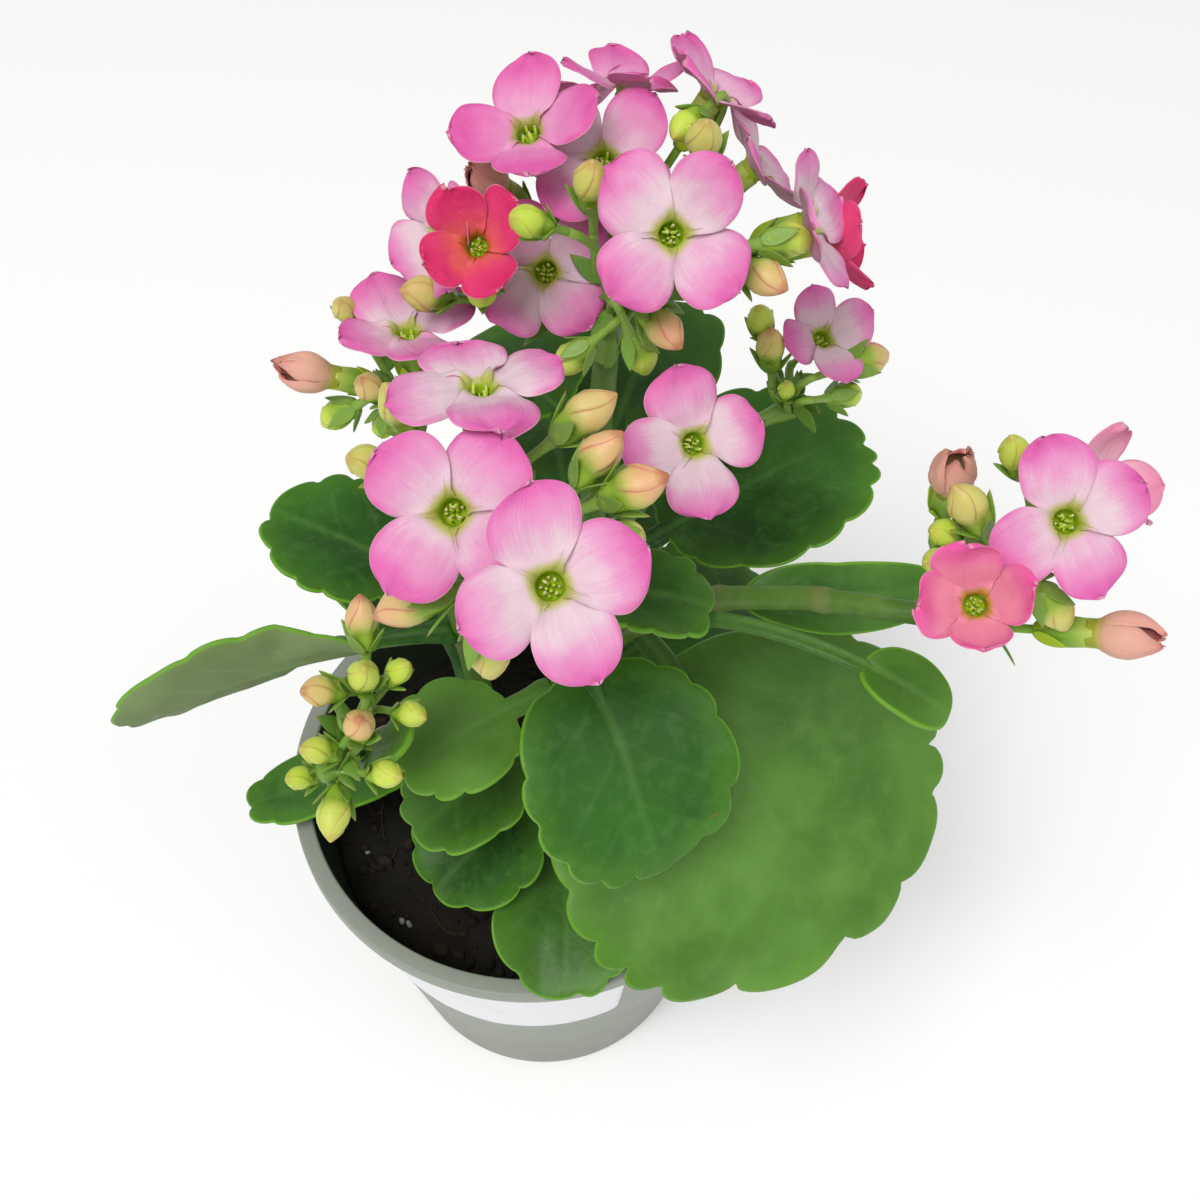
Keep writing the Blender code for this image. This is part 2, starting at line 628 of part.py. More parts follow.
def make_cyme(shoot, home, cutters):
    """Hub, arms to the flowers and buds on their pedicels, joined into one body."""
    name = CYME_OF_SHOOT[shoot]
    path, radii = shoot_line(shoot)
    hub = hub_of(shoot)
    neck = path[-1] + (hub - path[-1]).normalized() * GAP
    ball = bmesh.new()
    bmesh.ops.create_icosphere(ball, subdivisions=2, radius=HUB_RADIUS * MM)
    mesh = bpy.data.meshes.new(name)
    ball.to_mesh(mesh)
    ball.free()
    cyme = add_object(name, mesh, BUD_GREEN, home)
    cyme.location = hub * MM
    branches = [tube(name + "_neck", [neck, hub], [radii[-1]] * 2, None, cutters)]
    for flower, row in FLOWERS.items():
        if row[0] == name:
            foot, axis = pedicel_foot(flower)
            line = arm_line(hub, foot - axis * 2 * GAP, axis)
            branches.append(tube("arm_" + flower, line, [ARM_RADIUS] * len(line), None, cutters, 1))
    for k, (x, y, z, azimuth, elevation, size) in enumerate(BUDS[name]):
        axis, base = facing(azimuth, elevation), above_rim(x, y, z)
        line = arm_line(hub, base - axis * BUD_PEDICEL * size, axis, points=3)
        thick = [ARM_RADIUS] * len(line)
        for share, radius in ((0.0, 0.36), (0.22, 0.85), (0.55, 1.0), (0.85, 0.5), (1.0, 0.12)):
            line.append(base + axis * share * BUD_LENGTH * size)
            thick.append(radius * BUD_RADIUS * size)
        branches.append(tube(f"{name}_bud_{k + 1}", line, thick, None, cutters, 1))
    for branch in branches:
        piece = to_mesh(branch)
        piece.hide_render = True
        piece.display_type = "WIRE"
        join = cyme.modifiers.new("join_" + piece.name, "BOOLEAN")
        join.operation = "UNION"
        join.solver = "EXACT"
        join.object = piece
    return cyme


def main():
    for obj in list(bpy.data.objects):
        bpy.data.objects.remove(obj)
    home = collection("potted_kalanchoe")
    cutters = collection("cutters")
    make_pot(home, cutters)
    make_label(home)
    soil = make_soil(home)
    for shoot in SHOOTS:
        make_shoot(shoot, home, soil, cutters)
        make_cyme(shoot, home, cutters)
    for leaf in LEAVES:
        make_leaf(leaf, home)
    for flower in FLOWERS:
        make_flower(flower, home)


main()
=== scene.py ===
"""A flowering kalanchoe in its nursery pot, for close views.

The plant is put together in the order it grew: pot, label and soil, then the shoots, their leaves,
the branched heads with their buds, and the flowers.  Sizes are in millimetres and angles in
degrees; an azimuth is measured from the front (-Y) and grows towards +X.
"""

import json
import math

import bpy
import numpy as np
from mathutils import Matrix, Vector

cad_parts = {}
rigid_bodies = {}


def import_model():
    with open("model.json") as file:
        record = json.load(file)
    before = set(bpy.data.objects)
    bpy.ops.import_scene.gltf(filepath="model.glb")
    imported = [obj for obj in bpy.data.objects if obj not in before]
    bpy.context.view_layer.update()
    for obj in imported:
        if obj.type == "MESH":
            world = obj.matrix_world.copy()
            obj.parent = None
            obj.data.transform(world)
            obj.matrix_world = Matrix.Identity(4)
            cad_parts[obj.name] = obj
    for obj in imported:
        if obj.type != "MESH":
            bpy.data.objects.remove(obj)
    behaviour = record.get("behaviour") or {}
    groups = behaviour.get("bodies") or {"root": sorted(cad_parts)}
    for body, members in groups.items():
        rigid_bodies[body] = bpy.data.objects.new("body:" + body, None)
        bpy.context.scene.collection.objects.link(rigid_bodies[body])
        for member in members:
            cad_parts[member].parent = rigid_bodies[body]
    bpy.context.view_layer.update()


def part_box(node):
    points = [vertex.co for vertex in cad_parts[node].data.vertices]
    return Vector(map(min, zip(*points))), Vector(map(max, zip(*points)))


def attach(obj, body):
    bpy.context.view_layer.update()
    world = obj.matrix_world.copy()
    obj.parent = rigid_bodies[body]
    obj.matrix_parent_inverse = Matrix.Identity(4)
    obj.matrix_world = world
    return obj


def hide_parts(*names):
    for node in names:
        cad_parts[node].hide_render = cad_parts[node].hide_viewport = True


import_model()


# ------------------------------------------------------------------------------------------------
# Pot.  A tapered nursery pot, injection moulded from dull grey-green polypropylene, with a rolled
# lip, a foot ring and six drain holes in the floor.  Its inside is painted nearly black-green, as shade.
# The wall keeps faint drag lines from the mould, scuffs, and a dusting of dried lime.

MM = 0.001
POT_BASE_RADIUS = 38.0
POT_WALL = 1.2
LIP_HEIGHT = 4.0
LIP_OVERHANG = 2.6
LIP_ROUND = 0.55
LIP_EDGE_ROUND = 0.4
LIP_FILLET = 0.5
FOOT_ROUND = 1.2
FOOT_BEVEL = 0.4
FOOT_RING_WIDTH = 5.0
FLOOR_PAD_RADIUS = 14.0
FLOOR_RISE = 3.0
DRAIN_HOLES = 6
DRAIN_RADIUS = 3.5
DRAIN_TURN = 10.0
POT_SIDES = 192
WALL_STEPS = 24
AXIS_GAP = 0.4

pot_low, pot_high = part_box("pot")
POT_RIM_RADIUS = (pot_high.x - pot_low.x) / 2 / MM
POT_HEIGHT = (pot_high.z - pot_low.z) / MM


class Wire:
    """An output of a material's nodes.  Sums, products and powers of wires add Math nodes."""

    def __init__(self, tree, socket=None):
        self.tree = tree
        self.socket = socket

    def node(self, kind, settings=None, inputs=None, output=0):
        """A node of this kind: first its settings, then the values or wires of its sockets."""
        made = self.tree.nodes.new(kind)
        for name, value in (settings or {}).items():
            setattr(made, name, value)
        for name, value in (inputs or {}).items():
            if isinstance(value, Wire):
                self.tree.links.new(value.socket, made.inputs[name])
            else:
                made.inputs[name].default_value = value
        return Wire(self.tree, made.outputs[output])

    def maths(self, operation, *values):
        """One Math node on these values or wires."""
        return self.node("ShaderNodeMath", {"operation": operation}, dict(enumerate(values)))

    def __add__(self, other):
        return self.maths("ADD", self, other)

    def __sub__(self, other):
        return self.maths("SUBTRACT", self, other)

    def __rsub__(self, other):
        return self.maths("SUBTRACT", other, self)

    def __mul__(self, other):
        return self.maths("MULTIPLY", self, other)

    def __truediv__(self, other):
        return self.maths("DIVIDE", self, other)

    def __rtruediv__(self, other):
        return self.maths("DIVIDE", other, self)

    def __pow__(self, other):
        return self.maths("POWER", self, other)

    def __rpow__(self, other):
        return self.maths("POWER", other, self)

    __radd__ = __add__
    __rmul__ = __mul__

    def step(self, low, high):
        """0 below low and 1 above high, or the other way round, with a soft change between."""
        settings = {"interpolation_type": "SMOOTHSTEP"}
        return self.node("ShaderNodeMapRange", settings, {"Value": self, "From Min": low, "From Max": high})

    def mix(self, first, second):
        """From the first colour to the second as this wire goes from 0 to 1."""
        first, second = (c if isinstance(c, Wire) else (*c, 1.0) for c in (first, second))
        settings = {"data_type": "RGBA", "clamp_factor": True}
        return self.node("ShaderNodeMix", settings, {0: self, 6: first, 7: second}, output=2)

    def place(self):
        """Where a point of the surface is, in metres."""
        return self.node("ShaderNodeTexCoord", output="Object")

    def height(self):
        """How high a point of the surface is above the floor, in metres."""
        return self.node("ShaderNodeSeparateXYZ", None, {0: self.place()}, output="Z")

    def painted(self, name):
        """A value painted on the mesh's points."""
        return self.node("ShaderNodeAttribute", {"attribute_name": name}, output="Fac")

    def noise(self, size, detail=3.0, roughness=0.5, at=None):
        """Noise from 0 to 1 with lumps of about this size in millimetres."""
        at = at or self.place()
        inputs = {"Vector": at, "Scale": 1 / (size * MM), "Detail": detail, "Roughness": roughness}
        return self.node("ShaderNodeTexNoise", None, inputs)

    def stretched(self, x, y, z):
        """This place with each direction squeezed, so that a noise on it is drawn out."""
        return self.node("ShaderNodeVectorMath", {"operation": "MULTIPLY"}, {0: self, 1: (x, y, z)})


def new_finish(name, **constants):
    """A material whose shader has these constants, and a wire to build the rest from."""
    material = bpy.data.materials.new(name)
    material.use_nodes = True
    shader = material.node_tree.nodes["Principled BSDF"]
    for socket, value in constants.items():
        shader.inputs[socket.replace("_", " ")].default_value = value
    return material, Wire(material.node_tree)


def feed(material, relief=None, depth=0.1, **wires):
    """Joins wires to the material's shader, relief through a Bump node of this depth in mm."""
    shader = material.node_tree.nodes["Principled BSDF"]
    if relief:
        inputs = {"Height": relief, "Distance": depth * MM, "Strength": 1.0}
        wires["Normal"] = relief.node("ShaderNodeBump", None, inputs)
    for socket, wire in wires.items():
        material.node_tree.links.new(wire.socket, shader.inputs[socket.replace("_", " ")])


def add_object(name, data):
    """A new object of the scene, at the origin."""
    made = bpy.data.objects.new(name, data)
    bpy.context.scene.collection.objects.link(made)
    return made


class Form:
    """Points, faces and painted values of one piece, gathered from the lofts that make it up."""

    def __init__(self, *painted):
        self.points = []
        self.faces = []
        self.values = {name: [] for name in painted}
        self.count = 0

    def loft(self, rings, **values):
        """A closed skin over rings of points, shaped (ring, point, 3), with a face on each end."""
        rows, around = rings.shape[:2]
        index = np.arange(rows * around).reshape(rows, around)
        ahead = np.roll(index, -1, axis=1)
        quads = np.stack([index[:-1], ahead[:-1], ahead[1:], index[1:]], -1).reshape(-1, 4)
        flat = rings.reshape(-1, 3)
        a, b, c = (flat[quads[:, k]] - flat.mean(0) for k in (0, 1, 2))
        ends = [index[0, ::-1], index[-1]]
        if np.einsum("ij,ij->i", a, np.cross(b, c)).sum() < 0:
            quads, ends = quads[:, ::-1], [end[::-1] for end in ends]
        self.faces += (quads + self.count).tolist() + [(end + self.count).tolist() for end in ends]
        self.points.append(flat)
        for name, gathered in self.values.items():
            gathered.append(np.broadcast_to(values.get(name, 0.0), (rows, around)).reshape(-1))
        self.count += rows * around

    def piece(self, name, material, slot, *nodes):
        """The object in metres, which rides on the plant and stands for these CAD nodes."""
        mesh = bpy.data.meshes.new(name)
        mesh.from_pydata((np.concatenate(self.points) * MM).tolist(), [], self.faces)
        for key, gathered in self.values.items():
            layer = mesh.attributes.new(key, "FLOAT", "POINT")
            layer.data.foreach_set("value", np.concatenate(gathered).astype(np.float32))
        mesh.shade_smooth()
        mesh.materials.append(material)
        made = add_object(name, mesh)
        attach(made, "root")
        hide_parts(*nodes)
        return made


UP = np.array([0, 0, 1.0])


def facing(azimuth, elevation=0.0):
    """The unit vector that points to this azimuth and elevation."""
    a, e = np.radians(azimuth), np.radians(elevation)
    return np.stack([np.sin(a) * np.cos(e), -np.cos(a) * np.cos(e), np.sin(e) + 0 * a], -1)


def turned(profile, sides):
    """Rings about the Z axis from (radius, height) points."""
    profile = np.asarray(profile)
    out = facing(np.arange(sides) * 360 / sides)
    return profile[:, :1, None] * out + profile[:, 1:, None] * UP


def wall_radius(height):
    """Outer radius of the pot's wall at this height."""
    top = POT_RIM_RADIUS - LIP_OVERHANG
    return POT_BASE_RADIUS + (top - POT_BASE_RADIUS) * height / POT_HEIGHT


def arc(centre, radius, start, end, steps=5):
    """(radius, height) points round an arc; 0 degrees points outwards and 90 up."""
    angles = np.radians(np.linspace(start, end, steps))
    return [(centre[0] + radius * math.cos(a), centre[1] + radius * math.sin(a)) for a in angles]


lip_foot = POT_HEIGHT - LIP_HEIGHT
lip_inside = wall_radius(POT_HEIGHT) - POT_WALL
channel = POT_BASE_RADIUS - FOOT_RING_WIDTH
floor_top = FLOOR_RISE + POT_WALL
inner_heights = np.linspace(floor_top + 1, POT_HEIGHT - POT_WALL, WALL_STEPS)
outer_heights = np.linspace(lip_foot - LIP_FILLET - 0.1, FOOT_ROUND + 0.4, WALL_STEPS)
inside = [(AXIS_GAP, POT_WALL), (FLOOR_PAD_RADIUS - POT_WALL, POT_WALL), (FLOOR_PAD_RADIUS, floor_top)]
inside += [(channel, floor_top), (channel + POT_WALL, POT_WALL)]
inside += [(wall_radius(POT_WALL) - 2 * POT_WALL, POT_WALL)]
inside += [(wall_radius(h) - POT_WALL, h) for h in inner_heights]
outside = arc((lip_inside + LIP_ROUND, POT_HEIGHT - LIP_ROUND), LIP_ROUND, 180, 90)
outside += arc((POT_RIM_RADIUS - LIP_ROUND, POT_HEIGHT - LIP_ROUND), LIP_ROUND, 90, 0)
outside += arc((POT_RIM_RADIUS - LIP_EDGE_ROUND, lip_foot + LIP_EDGE_ROUND), LIP_EDGE_ROUND, 0, -90, 4)
outside += arc((wall_radius(lip_foot) + LIP_FILLET, lip_foot - LIP_FILLET), LIP_FILLET, 90, 180, 4)
outside += [(wall_radius(h), h) for h in outer_heights]
outside += arc((POT_BASE_RADIUS - FOOT_ROUND, FOOT_ROUND), FOOT_ROUND, 0, -90)
outside += [(channel + 1.5 * FOOT_BEVEL, 0), (channel, FOOT_BEVEL), (channel - POT_WALL, FLOOR_RISE)]
outside += [(FLOOR_PAD_RADIUS + POT_WALL, FLOOR_RISE), (FLOOR_PAD_RADIUS, 0), (AXIS_GAP, 0)]

pot_form = Form("outside")
is_outside = np.array([0.0] * len(inside) + [1.0] * len(outside))[:, None]
pot_form.loft(turned(inside + outside, POT_SIDES), outside=is_outside)

pot_plastic, w = new_finish("pot_plastic", Specular_IOR_Level=0.45)
drag = w.noise(1.4, 4, 0.6, at=w.place().stretched(1, 1, 0.03))
blotch = w.noise(16, 4, 0.55)
scuff = w.noise(3.2, 6, 0.7, at=w.place().stretched(1, 1, 2.5)).step(0.6, 0.74)
splash = (w.noise(9, 5, 0.6) + w.height() * 9).step(1.05, 0.45)
grey = drag.mix((0.235, 0.262, 0.222), (0.3, 0.325, 0.282))
grey = (blotch * 0.8).mix(grey, (0.262, 0.288, 0.232))
grey = (scuff * 0.3).mix(grey, (0.46, 0.48, 0.44))
grey = (splash * 0.35).mix(grey, (0.16, 0.155, 0.12))
# Painted shade: the inside of the wall, the same plastic as the outside, is coloured nearly black-green for
# the shade inside the pot.
dark = blotch.mix((0.016, 0.026, 0.014), (0.03, 0.044, 0.022))
dark = (scuff * 0.25).mix(dark, (0.09, 0.09, 0.07))
feed(
    pot_plastic,
    relief=drag * 0.6 + w.noise(0.35, 2) * 0.4,
    depth=0.05,
    Base_Color=w.painted("outside").mix(dark, grey),
    Roughness=0.4 + blotch * 0.14 + scuff * 0.18,
)
pot_shell = pot_form.piece("pot_shell", pot_plastic, "pot", "pot")

drill_ring = (FLOOR_PAD_RADIUS + channel) / 2
for k in range(DRAIN_HOLES):
    drill = Form()
    centre = facing(360 / DRAIN_HOLES * k + DRAIN_TURN) * drill_ring
    drill.loft(turned([(DRAIN_RADIUS, -5), (DRAIN_RADIUS, 2 * floor_top)], 32) + centre)
    drill_mesh = bpy.data.meshes.new("drill")
    drill_mesh.from_pydata((drill.points[0] * MM).tolist(), [], drill.faces)
    drill_bit = add_object("drill", drill_mesh)
    hole = pot_shell.modifiers.new("drain", "BOOLEAN")
    hole.operation = "DIFFERENCE"
    hole.solver = "EXACT"
    hole.object = drill_bit
bpy.context.view_layer.update()
drilled = bpy.data.meshes.new_from_object(pot_shell.evaluated_get(bpy.context.evaluated_depsgraph_get()))
pot_shell.modifiers.clear()
pot_shell.data = drilled
for drill_bit in [o for o in bpy.data.objects if o.name.startswith("drill")]:
    bpy.data.objects.remove(drill_bit)
pot_shell.data.set_sharp_from_angle(angle=math.radians(50))


# ------------------------------------------------------------------------------------------------
# Label.  A strip of white self-adhesive paper wrapped round the upper left of the wall.  A straight
# strip on a cone rises to its ends.  It is left blank, with worn corners and a few ripples.

LABEL_HEIGHT = 30.0
LABEL_BELOW_LIP = 10.0
LABEL_FROM = -92.0
LABEL_TO = 24.0
LABEL_THICKNESS = 0.3
LABEL_CORNER = 2.5
LABEL_GAP = 0.12
LABEL_LIFT = 0.1
LABEL_RIPPLE = 16.0
LABEL_ROWS = 150
LABEL_COLUMNS = 18


def ripple(points, size, seed, waves=14):
    """Smooth seeded unevenness of points, about -1 to 1, with swells about this size apart."""
    rng = np.random.default_rng(seed)
    ways = rng.normal(size=(waves, 3))
    ways *= (rng.uniform(0.6, 1.5, waves) * 2 * np.pi / size / np.linalg.norm(ways, axis=1))[:, None]
    return np.sin(points @ ways.T + rng.uniform(0, 2 * np.pi, waves)).mean(-1) * 2


taper = (wall_radius(POT_HEIGHT) - POT_BASE_RADIUS) / POT_HEIGHT
azimuths = np.linspace(LABEL_FROM, LABEL_TO, LABEL_ROWS)[:, None]
arc_length = np.radians(azimuths - LABEL_FROM) * wall_radius(POT_HEIGHT / 2)
from_end = np.minimum(arc_length, arc_length.max() - arc_length)
into_corner = np.clip(LABEL_CORNER - from_end, 0, LABEL_CORNER)
corner = LABEL_CORNER - np.sqrt(LABEL_CORNER**2 - into_corner**2)
down = np.linspace(0, 1, LABEL_COLUMNS)
down = np.concatenate([down, down[::-1]])
outer = np.concatenate([np.ones(LABEL_COLUMNS), np.zeros(LABEL_COLUMNS)])
strip = lip_foot - LABEL_BELOW_LIP - corner - down * (LABEL_HEIGHT - 2 * corner)
unrolled = np.radians(azimuths - (LABEL_FROM + LABEL_TO) / 2) * taper
strip = strip + wall_radius(strip) / taper * (1 / np.cos(unrolled) - 1)
wall = facing(azimuths + 0 * down)
ripples = ripple(wall * 60 + strip[..., None] * UP, LABEL_RIPPLE, 3).clip(0, 1)
lift = LABEL_GAP + LABEL_LIFT * ripples + outer * LABEL_THICKNESS
label_form = Form("edge")
label_form.loft(
    wall * (wall_radius(strip) + lift)[..., None] + strip[..., None] * UP,
    edge=np.minimum(from_end, np.minimum(down, 1 - down) * LABEL_HEIGHT),
)
label_paper, w = new_finish("label_paper", Specular_IOR_Level=0.5)
fibre = w.noise(0.5, 4, 0.6, at=w.place().stretched(1, 1, 3))
smudge = w.noise(14, 5, 0.6).step(0.52, 0.72)
worn = (w.painted("edge") + w.noise(1.5, 4) * 2.0).step(1.9, 0.9)
paper = fibre.mix((0.8, 0.8, 0.83), (0.87, 0.87, 0.9))
paper = (smudge * 0.25).mix(paper, (0.6, 0.6, 0.6))
paper = (worn * 0.4).mix(paper, (0.5, 0.5, 0.46))
feed(
    label_paper,
    relief=fibre + w.noise(6, 3) * 2,
    depth=0.06,
    Base_Color=paper,
    Roughness=0.42 + fibre * 0.2,
)
label_strip = label_form.piece("label_strip", label_paper, "label", "label")
label_strip.data.set_sharp_from_angle(angle=math.radians(45))


# ------------------------------------------------------------------------------------------------
# Soil.  Damp dark peat with coir fibres, a few bark chips and grains of white perlite, pressed
# down by watering, so that it is uneven and sits a little lower next to the wall.

SOIL_BELOW_RIM = 20.0
SOIL_CROWN = 2.7
SOIL_DEPTH = 8.0
SOIL_GAP = 0.3
SOIL_RINGS = 46
SOIL_SIDES = 170
CRUMBS = 620
FIBRES = 46
FIBRE_POINTS = 8
PERLITE = 9

surface = POT_HEIGHT - SOIL_BELOW_RIM
soil_edge = wall_radius(surface) - POT_WALL - SOIL_GAP


def soil_height(points):
    """Height of the soil under points, from its crown, its dips and its lumps."""
    away = np.hypot(points[..., 0], points[..., 1]) / soil_edge
    flat = points * np.array([1, 1, 0.0])
    lumps = 1.1 * ripple(flat, 19, 11) + 0.7 * ripple(flat, 7, 12) + 0.35 * ripple(flat, 3, 13)
    return surface + SOIL_CROWN * (1 - away**2) + lumps * (1 - away**8)


def unit(vector):
    """This vector with a length of 1."""
    return vector / np.linalg.norm(vector)


def circle(count):
    """Angles in radians, spaced evenly round a circle."""
    return np.linspace(0, 2 * np.pi, count, endpoint=False)


def lump(rng, centre, size, around=9, rows=6):
    """An uneven pebble of soil as a loft."""
    axis = unit(rng.normal(size=3))
    side = unit(np.cross(axis, [0.3, 0.5, 0.8]))
    other = np.cross(axis, side) * rng.uniform(0.6, 1.0)
    t = np.linspace(0.12, np.pi - 0.12, rows)[:, None]
    p = circle(around)
    rough = rng.uniform(0.78, 1.15, (rows, around))
    spread = (np.sin(t) * rough)[..., None] * (np.cos(p)[:, None] * side + np.sin(p)[:, None] * other)
    return centre + size * (spread + (np.cos(t) * rng.uniform(0.8, 1.4) + 0 * p)[..., None] * axis)


def tube(line, radii, around=16):
    """Rings of a round tube along a line, turned about it as little as they can be."""
    line = np.asarray(line, float)
    along = np.gradient(line, axis=0)
    along /= np.linalg.norm(along, axis=1)[:, None]
    across, last = [], np.array([0.2, 0.4, 0.9])
    for direction in along:
        last = unit(last - direction * last.dot(direction))
        across.append(last)
    across = np.array(across)
    other = np.cross(along, across)
    p = circle(around)[:, None]
    radii = np.broadcast_to(radii, len(line))[:, None, None]
    return line[:, None] + radii * (np.cos(p) * across[:, None] + np.sin(p) * other[:, None])


soil_form = Form("grain")
reach = soil_edge * np.concatenate([np.linspace(0.01, 1, SOIL_RINGS), [1.0, 0.02]])
soil_rings = reach[:, None, None] * facing(np.arange(SOIL_SIDES) * 360 / SOIL_SIDES)
soil_rings[:-2, :, 2] = soil_height(soil_rings[:-2])
soil_rings[-2:, :, 2] = surface - SOIL_DEPTH
soil_form.loft(soil_rings)
rng = np.random.default_rng(5)
for k in range(CRUMBS + PERLITE):
    spot = facing(rng.uniform(0, 360)) * soil_edge * math.sqrt(rng.uniform(0, 0.94))
    spot[2] = soil_height(spot) + 0.2
    is_perlite = k >= CRUMBS
    size = rng.uniform(0.5, 1.1) if is_perlite else 0.5 + 1.6 * rng.uniform() ** 3
    spot[:2] *= min(1, (soil_edge - 1.5 * size) / math.hypot(spot[0], spot[1]))
    soil_form.loft(lump(rng, spot, size), grain=1.0 if is_perlite else rng.uniform(0, 0.45))
for k in range(FIBRES):
    spot = facing(rng.uniform(0, 360)) * soil_edge * math.sqrt(rng.uniform(0, 0.85))
    turns = np.cumsum(rng.normal(0, 22, FIBRE_POINTS)) + rng.uniform(0, 360)
    line = spot + np.cumsum(facing(turns), axis=0) * rng.uniform(0.7, 1.5)
    line[:, :2] *= np.minimum(1, (soil_edge - 0.6) / np.hypot(line[:, 0], line[:, 1]))[:, None]
    line[:, 2] = soil_height(line) + 0.35 + 0.5 * np.sin(np.linspace(0, 3, FIBRE_POINTS))
    soil_form.loft(tube(line, 0.12, 5), grain=0.62)
soil_peat, w = new_finish("soil_peat", Specular_IOR_Level=0.3)
clods = w.noise(2.6, 8, 0.7)
damp = w.noise(24, 3).step(0.35, 0.7)
peat = clods.mix((0.003, 0.003, 0.0018), (0.02, 0.014, 0.008))
peat = (damp * 0.5).mix(peat, (0.005, 0.006, 0.003))
grain = w.painted("grain")
peat = grain.step(0.1, 0.45).mix(peat, (0.028, 0.018, 0.01))
peat = grain.step(0.5, 0.6).mix(peat, (0.07, 0.042, 0.02))
peat = grain.step(0.8, 0.95).mix(peat, (0.34, 0.33, 0.3))
relief = clods + w.noise(0.5, 4) * 0.5
feed(soil_peat, relief, depth=0.8, Base_Color=peat, Roughness=0.95 - damp * 0.25)
soil_form.piece("soil_surface", soil_peat, "soil", "soil")


# ------------------------------------------------------------------------------------------------
# Shoots.  Three square-shouldered, fleshy stems rise from the root ball and three side shoots leave
# them.  They are green and smooth, turn corky and brown near the soil, and swell a little at each
# pair of leaves, where old leaves have left pale scars.

# name: (radius at the foot, radius at the top, centre line from the foot to the flower head)
SHOOTS = {
    "top": (3.6, 2.0, [(9, 10, 0), (9, 11, 110), (13, 11, 165), (16, 10, 214)]),
    "front": (3.4, 2.0, [(7, -7, 0), (8, -8, 110), (8, -15, 165), (6, -30, 210)]),
    "left": (3.0, 1.7, [(-8, 2, 0), (-10, 2, 110), (-14, 4, 160), (-17, 7, 198)]),
    "right": (2.4, 1.7, [(8, -10, 148), (26, -13, 174), (46, -24, 193), (70.5, -36.5, 204)]),
    "low_left": (2.2, 1.5, [(-10, 2, 110), (-20, -9, 128), (-27, -24, 148), (-31, -36, 160)]),
    "back_right": (2.2, 1.5, [(12, 11, 160), (26, 17, 173), (38, 23, 180), (46, 26, 182)]),
}
SHOOT_SIDES = 28
KNUCKLE_SPACING = 21.0
KNUCKLE_SWELL = 0.14
SHOULDERS = 0.035
STEM_FOOT = surface - 4.0


def curve_through(points, per_span=14):
    """Points along the smooth Catmull-Rom curve through the given ones."""
    p = np.asarray(points, float)
    p = np.vstack([p[0] * 2 - p[1], p, p[-1] * 2 - p[-2]])
    made = []
    for a, b, c, d in zip(p, p[1:], p[2:], p[3:]):
        for t in np.arange(per_span) / per_span:
            bend = (2 * a - 5 * b + 4 * c - d) * t * t + (3 * b - a - 3 * c + d) * t**3
            made.append(0.5 * (2 * b + (c - a) * t + bend))
    return np.array([*made, p[-2]])


def shoot_line(name):
    """(points, radii) of a shoot, the main ones from just under the soil."""
    foot_radius, top_radius, points = SHOOTS[name]
    line = curve_through(points)
    line = line[line[:, 2] > STEM_FOOT]
    return line, np.linspace(foot_radius, top_radius, len(line))


def shoot_at(name, height):
    """(centre, radius) of a shoot at this height."""
    line, radii = shoot_line(name)
    centre = np.array([np.interp(height, line[:, 2], line[:, k]) for k in range(3)])
    return centre, np.interp(height, line[:, 2], radii)


stem_skin, w = new_finish(
    "stem_skin", Specular_IOR_Level=0.5, Subsurface_Weight=0.05, Subsurface_Radius=(0.002, 0.003, 0.0006)
)
streak = w.noise(1.6, 5, 0.6, at=w.place().stretched(1, 1, 0.22))
corky = (w.height() * 9 + streak * 0.45).step(1.25, 0.95)
skin = streak.mix((0.046, 0.125, 0.008), (0.105, 0.225, 0.024))
skin = (w.noise(7, 3).step(0.5, 0.75) * 0.35).mix(skin, (0.17, 0.25, 0.08))
skin = (w.painted("knuckle") * 0.55).mix(skin, (0.21, 0.17, 0.07))
skin = corky.mix(skin, (0.13, 0.085, 0.045))
feed(
    stem_skin,
    relief=streak + w.noise(0.5, 3) * corky,
    depth=0.12,
    Base_Color=skin,
    Roughness=0.42 + corky * 0.35 + streak * 0.1,
)
for name in SHOOTS:
    line, radii = shoot_line(name)
    gone = np.concatenate([[0], np.cumsum(np.linalg.norm(np.diff(line, axis=0), axis=1))])
    knuckle = np.exp(-(((gone + 6) % KNUCKLE_SPACING - KNUCKLE_SPACING / 2) ** 2) / 2.2)
    rings = tube(line, radii * (1 + KNUCKLE_SWELL * knuckle), SHOOT_SIDES)
    square = 1 + SHOULDERS * np.cos(4 * circle(SHOOT_SIDES))
    rings = line[:, None] + (rings - line[:, None]) * square[:, None]
    rings += 0.12 * ripple(rings, 6, 21)[..., None] * (rings - line[:, None]) / radii[:, None, None]
    stem_form = Form("knuckle")
    stem_form.loft(rings, knuckle=knuckle[:, None])
    stem_form.piece(f"stem_{name}", stem_skin, "stem", f"shoot_{name}")


# ------------------------------------------------------------------------------------------------
# Leaves.  Thick, fleshy blades on grooved stalks, with round teeth along the outer margin.  The
# upper skin is dark, waxy and faintly mottled, the margin a thin pale line, the underside paler.
# Young leaves near the middle are yellower.  Each leaf arches away from its shoot.

LEAF_THICKNESS = 1.6
STALK_WIDTH = 5.0
STALK_DEPTH = 2.5
LEAF_CLEARANCE = 0.6
# Where the rings of a blade lie, from its middle (0) to its margin (1).
RING_PLACES = (0.0, 0.04, 0.12, 0.2, 0.3, 0.4, 0.5, 0.6, 0.69, 0.77, 0.84, 0.895, 0.935, 0.965, 0.985, 1.0)

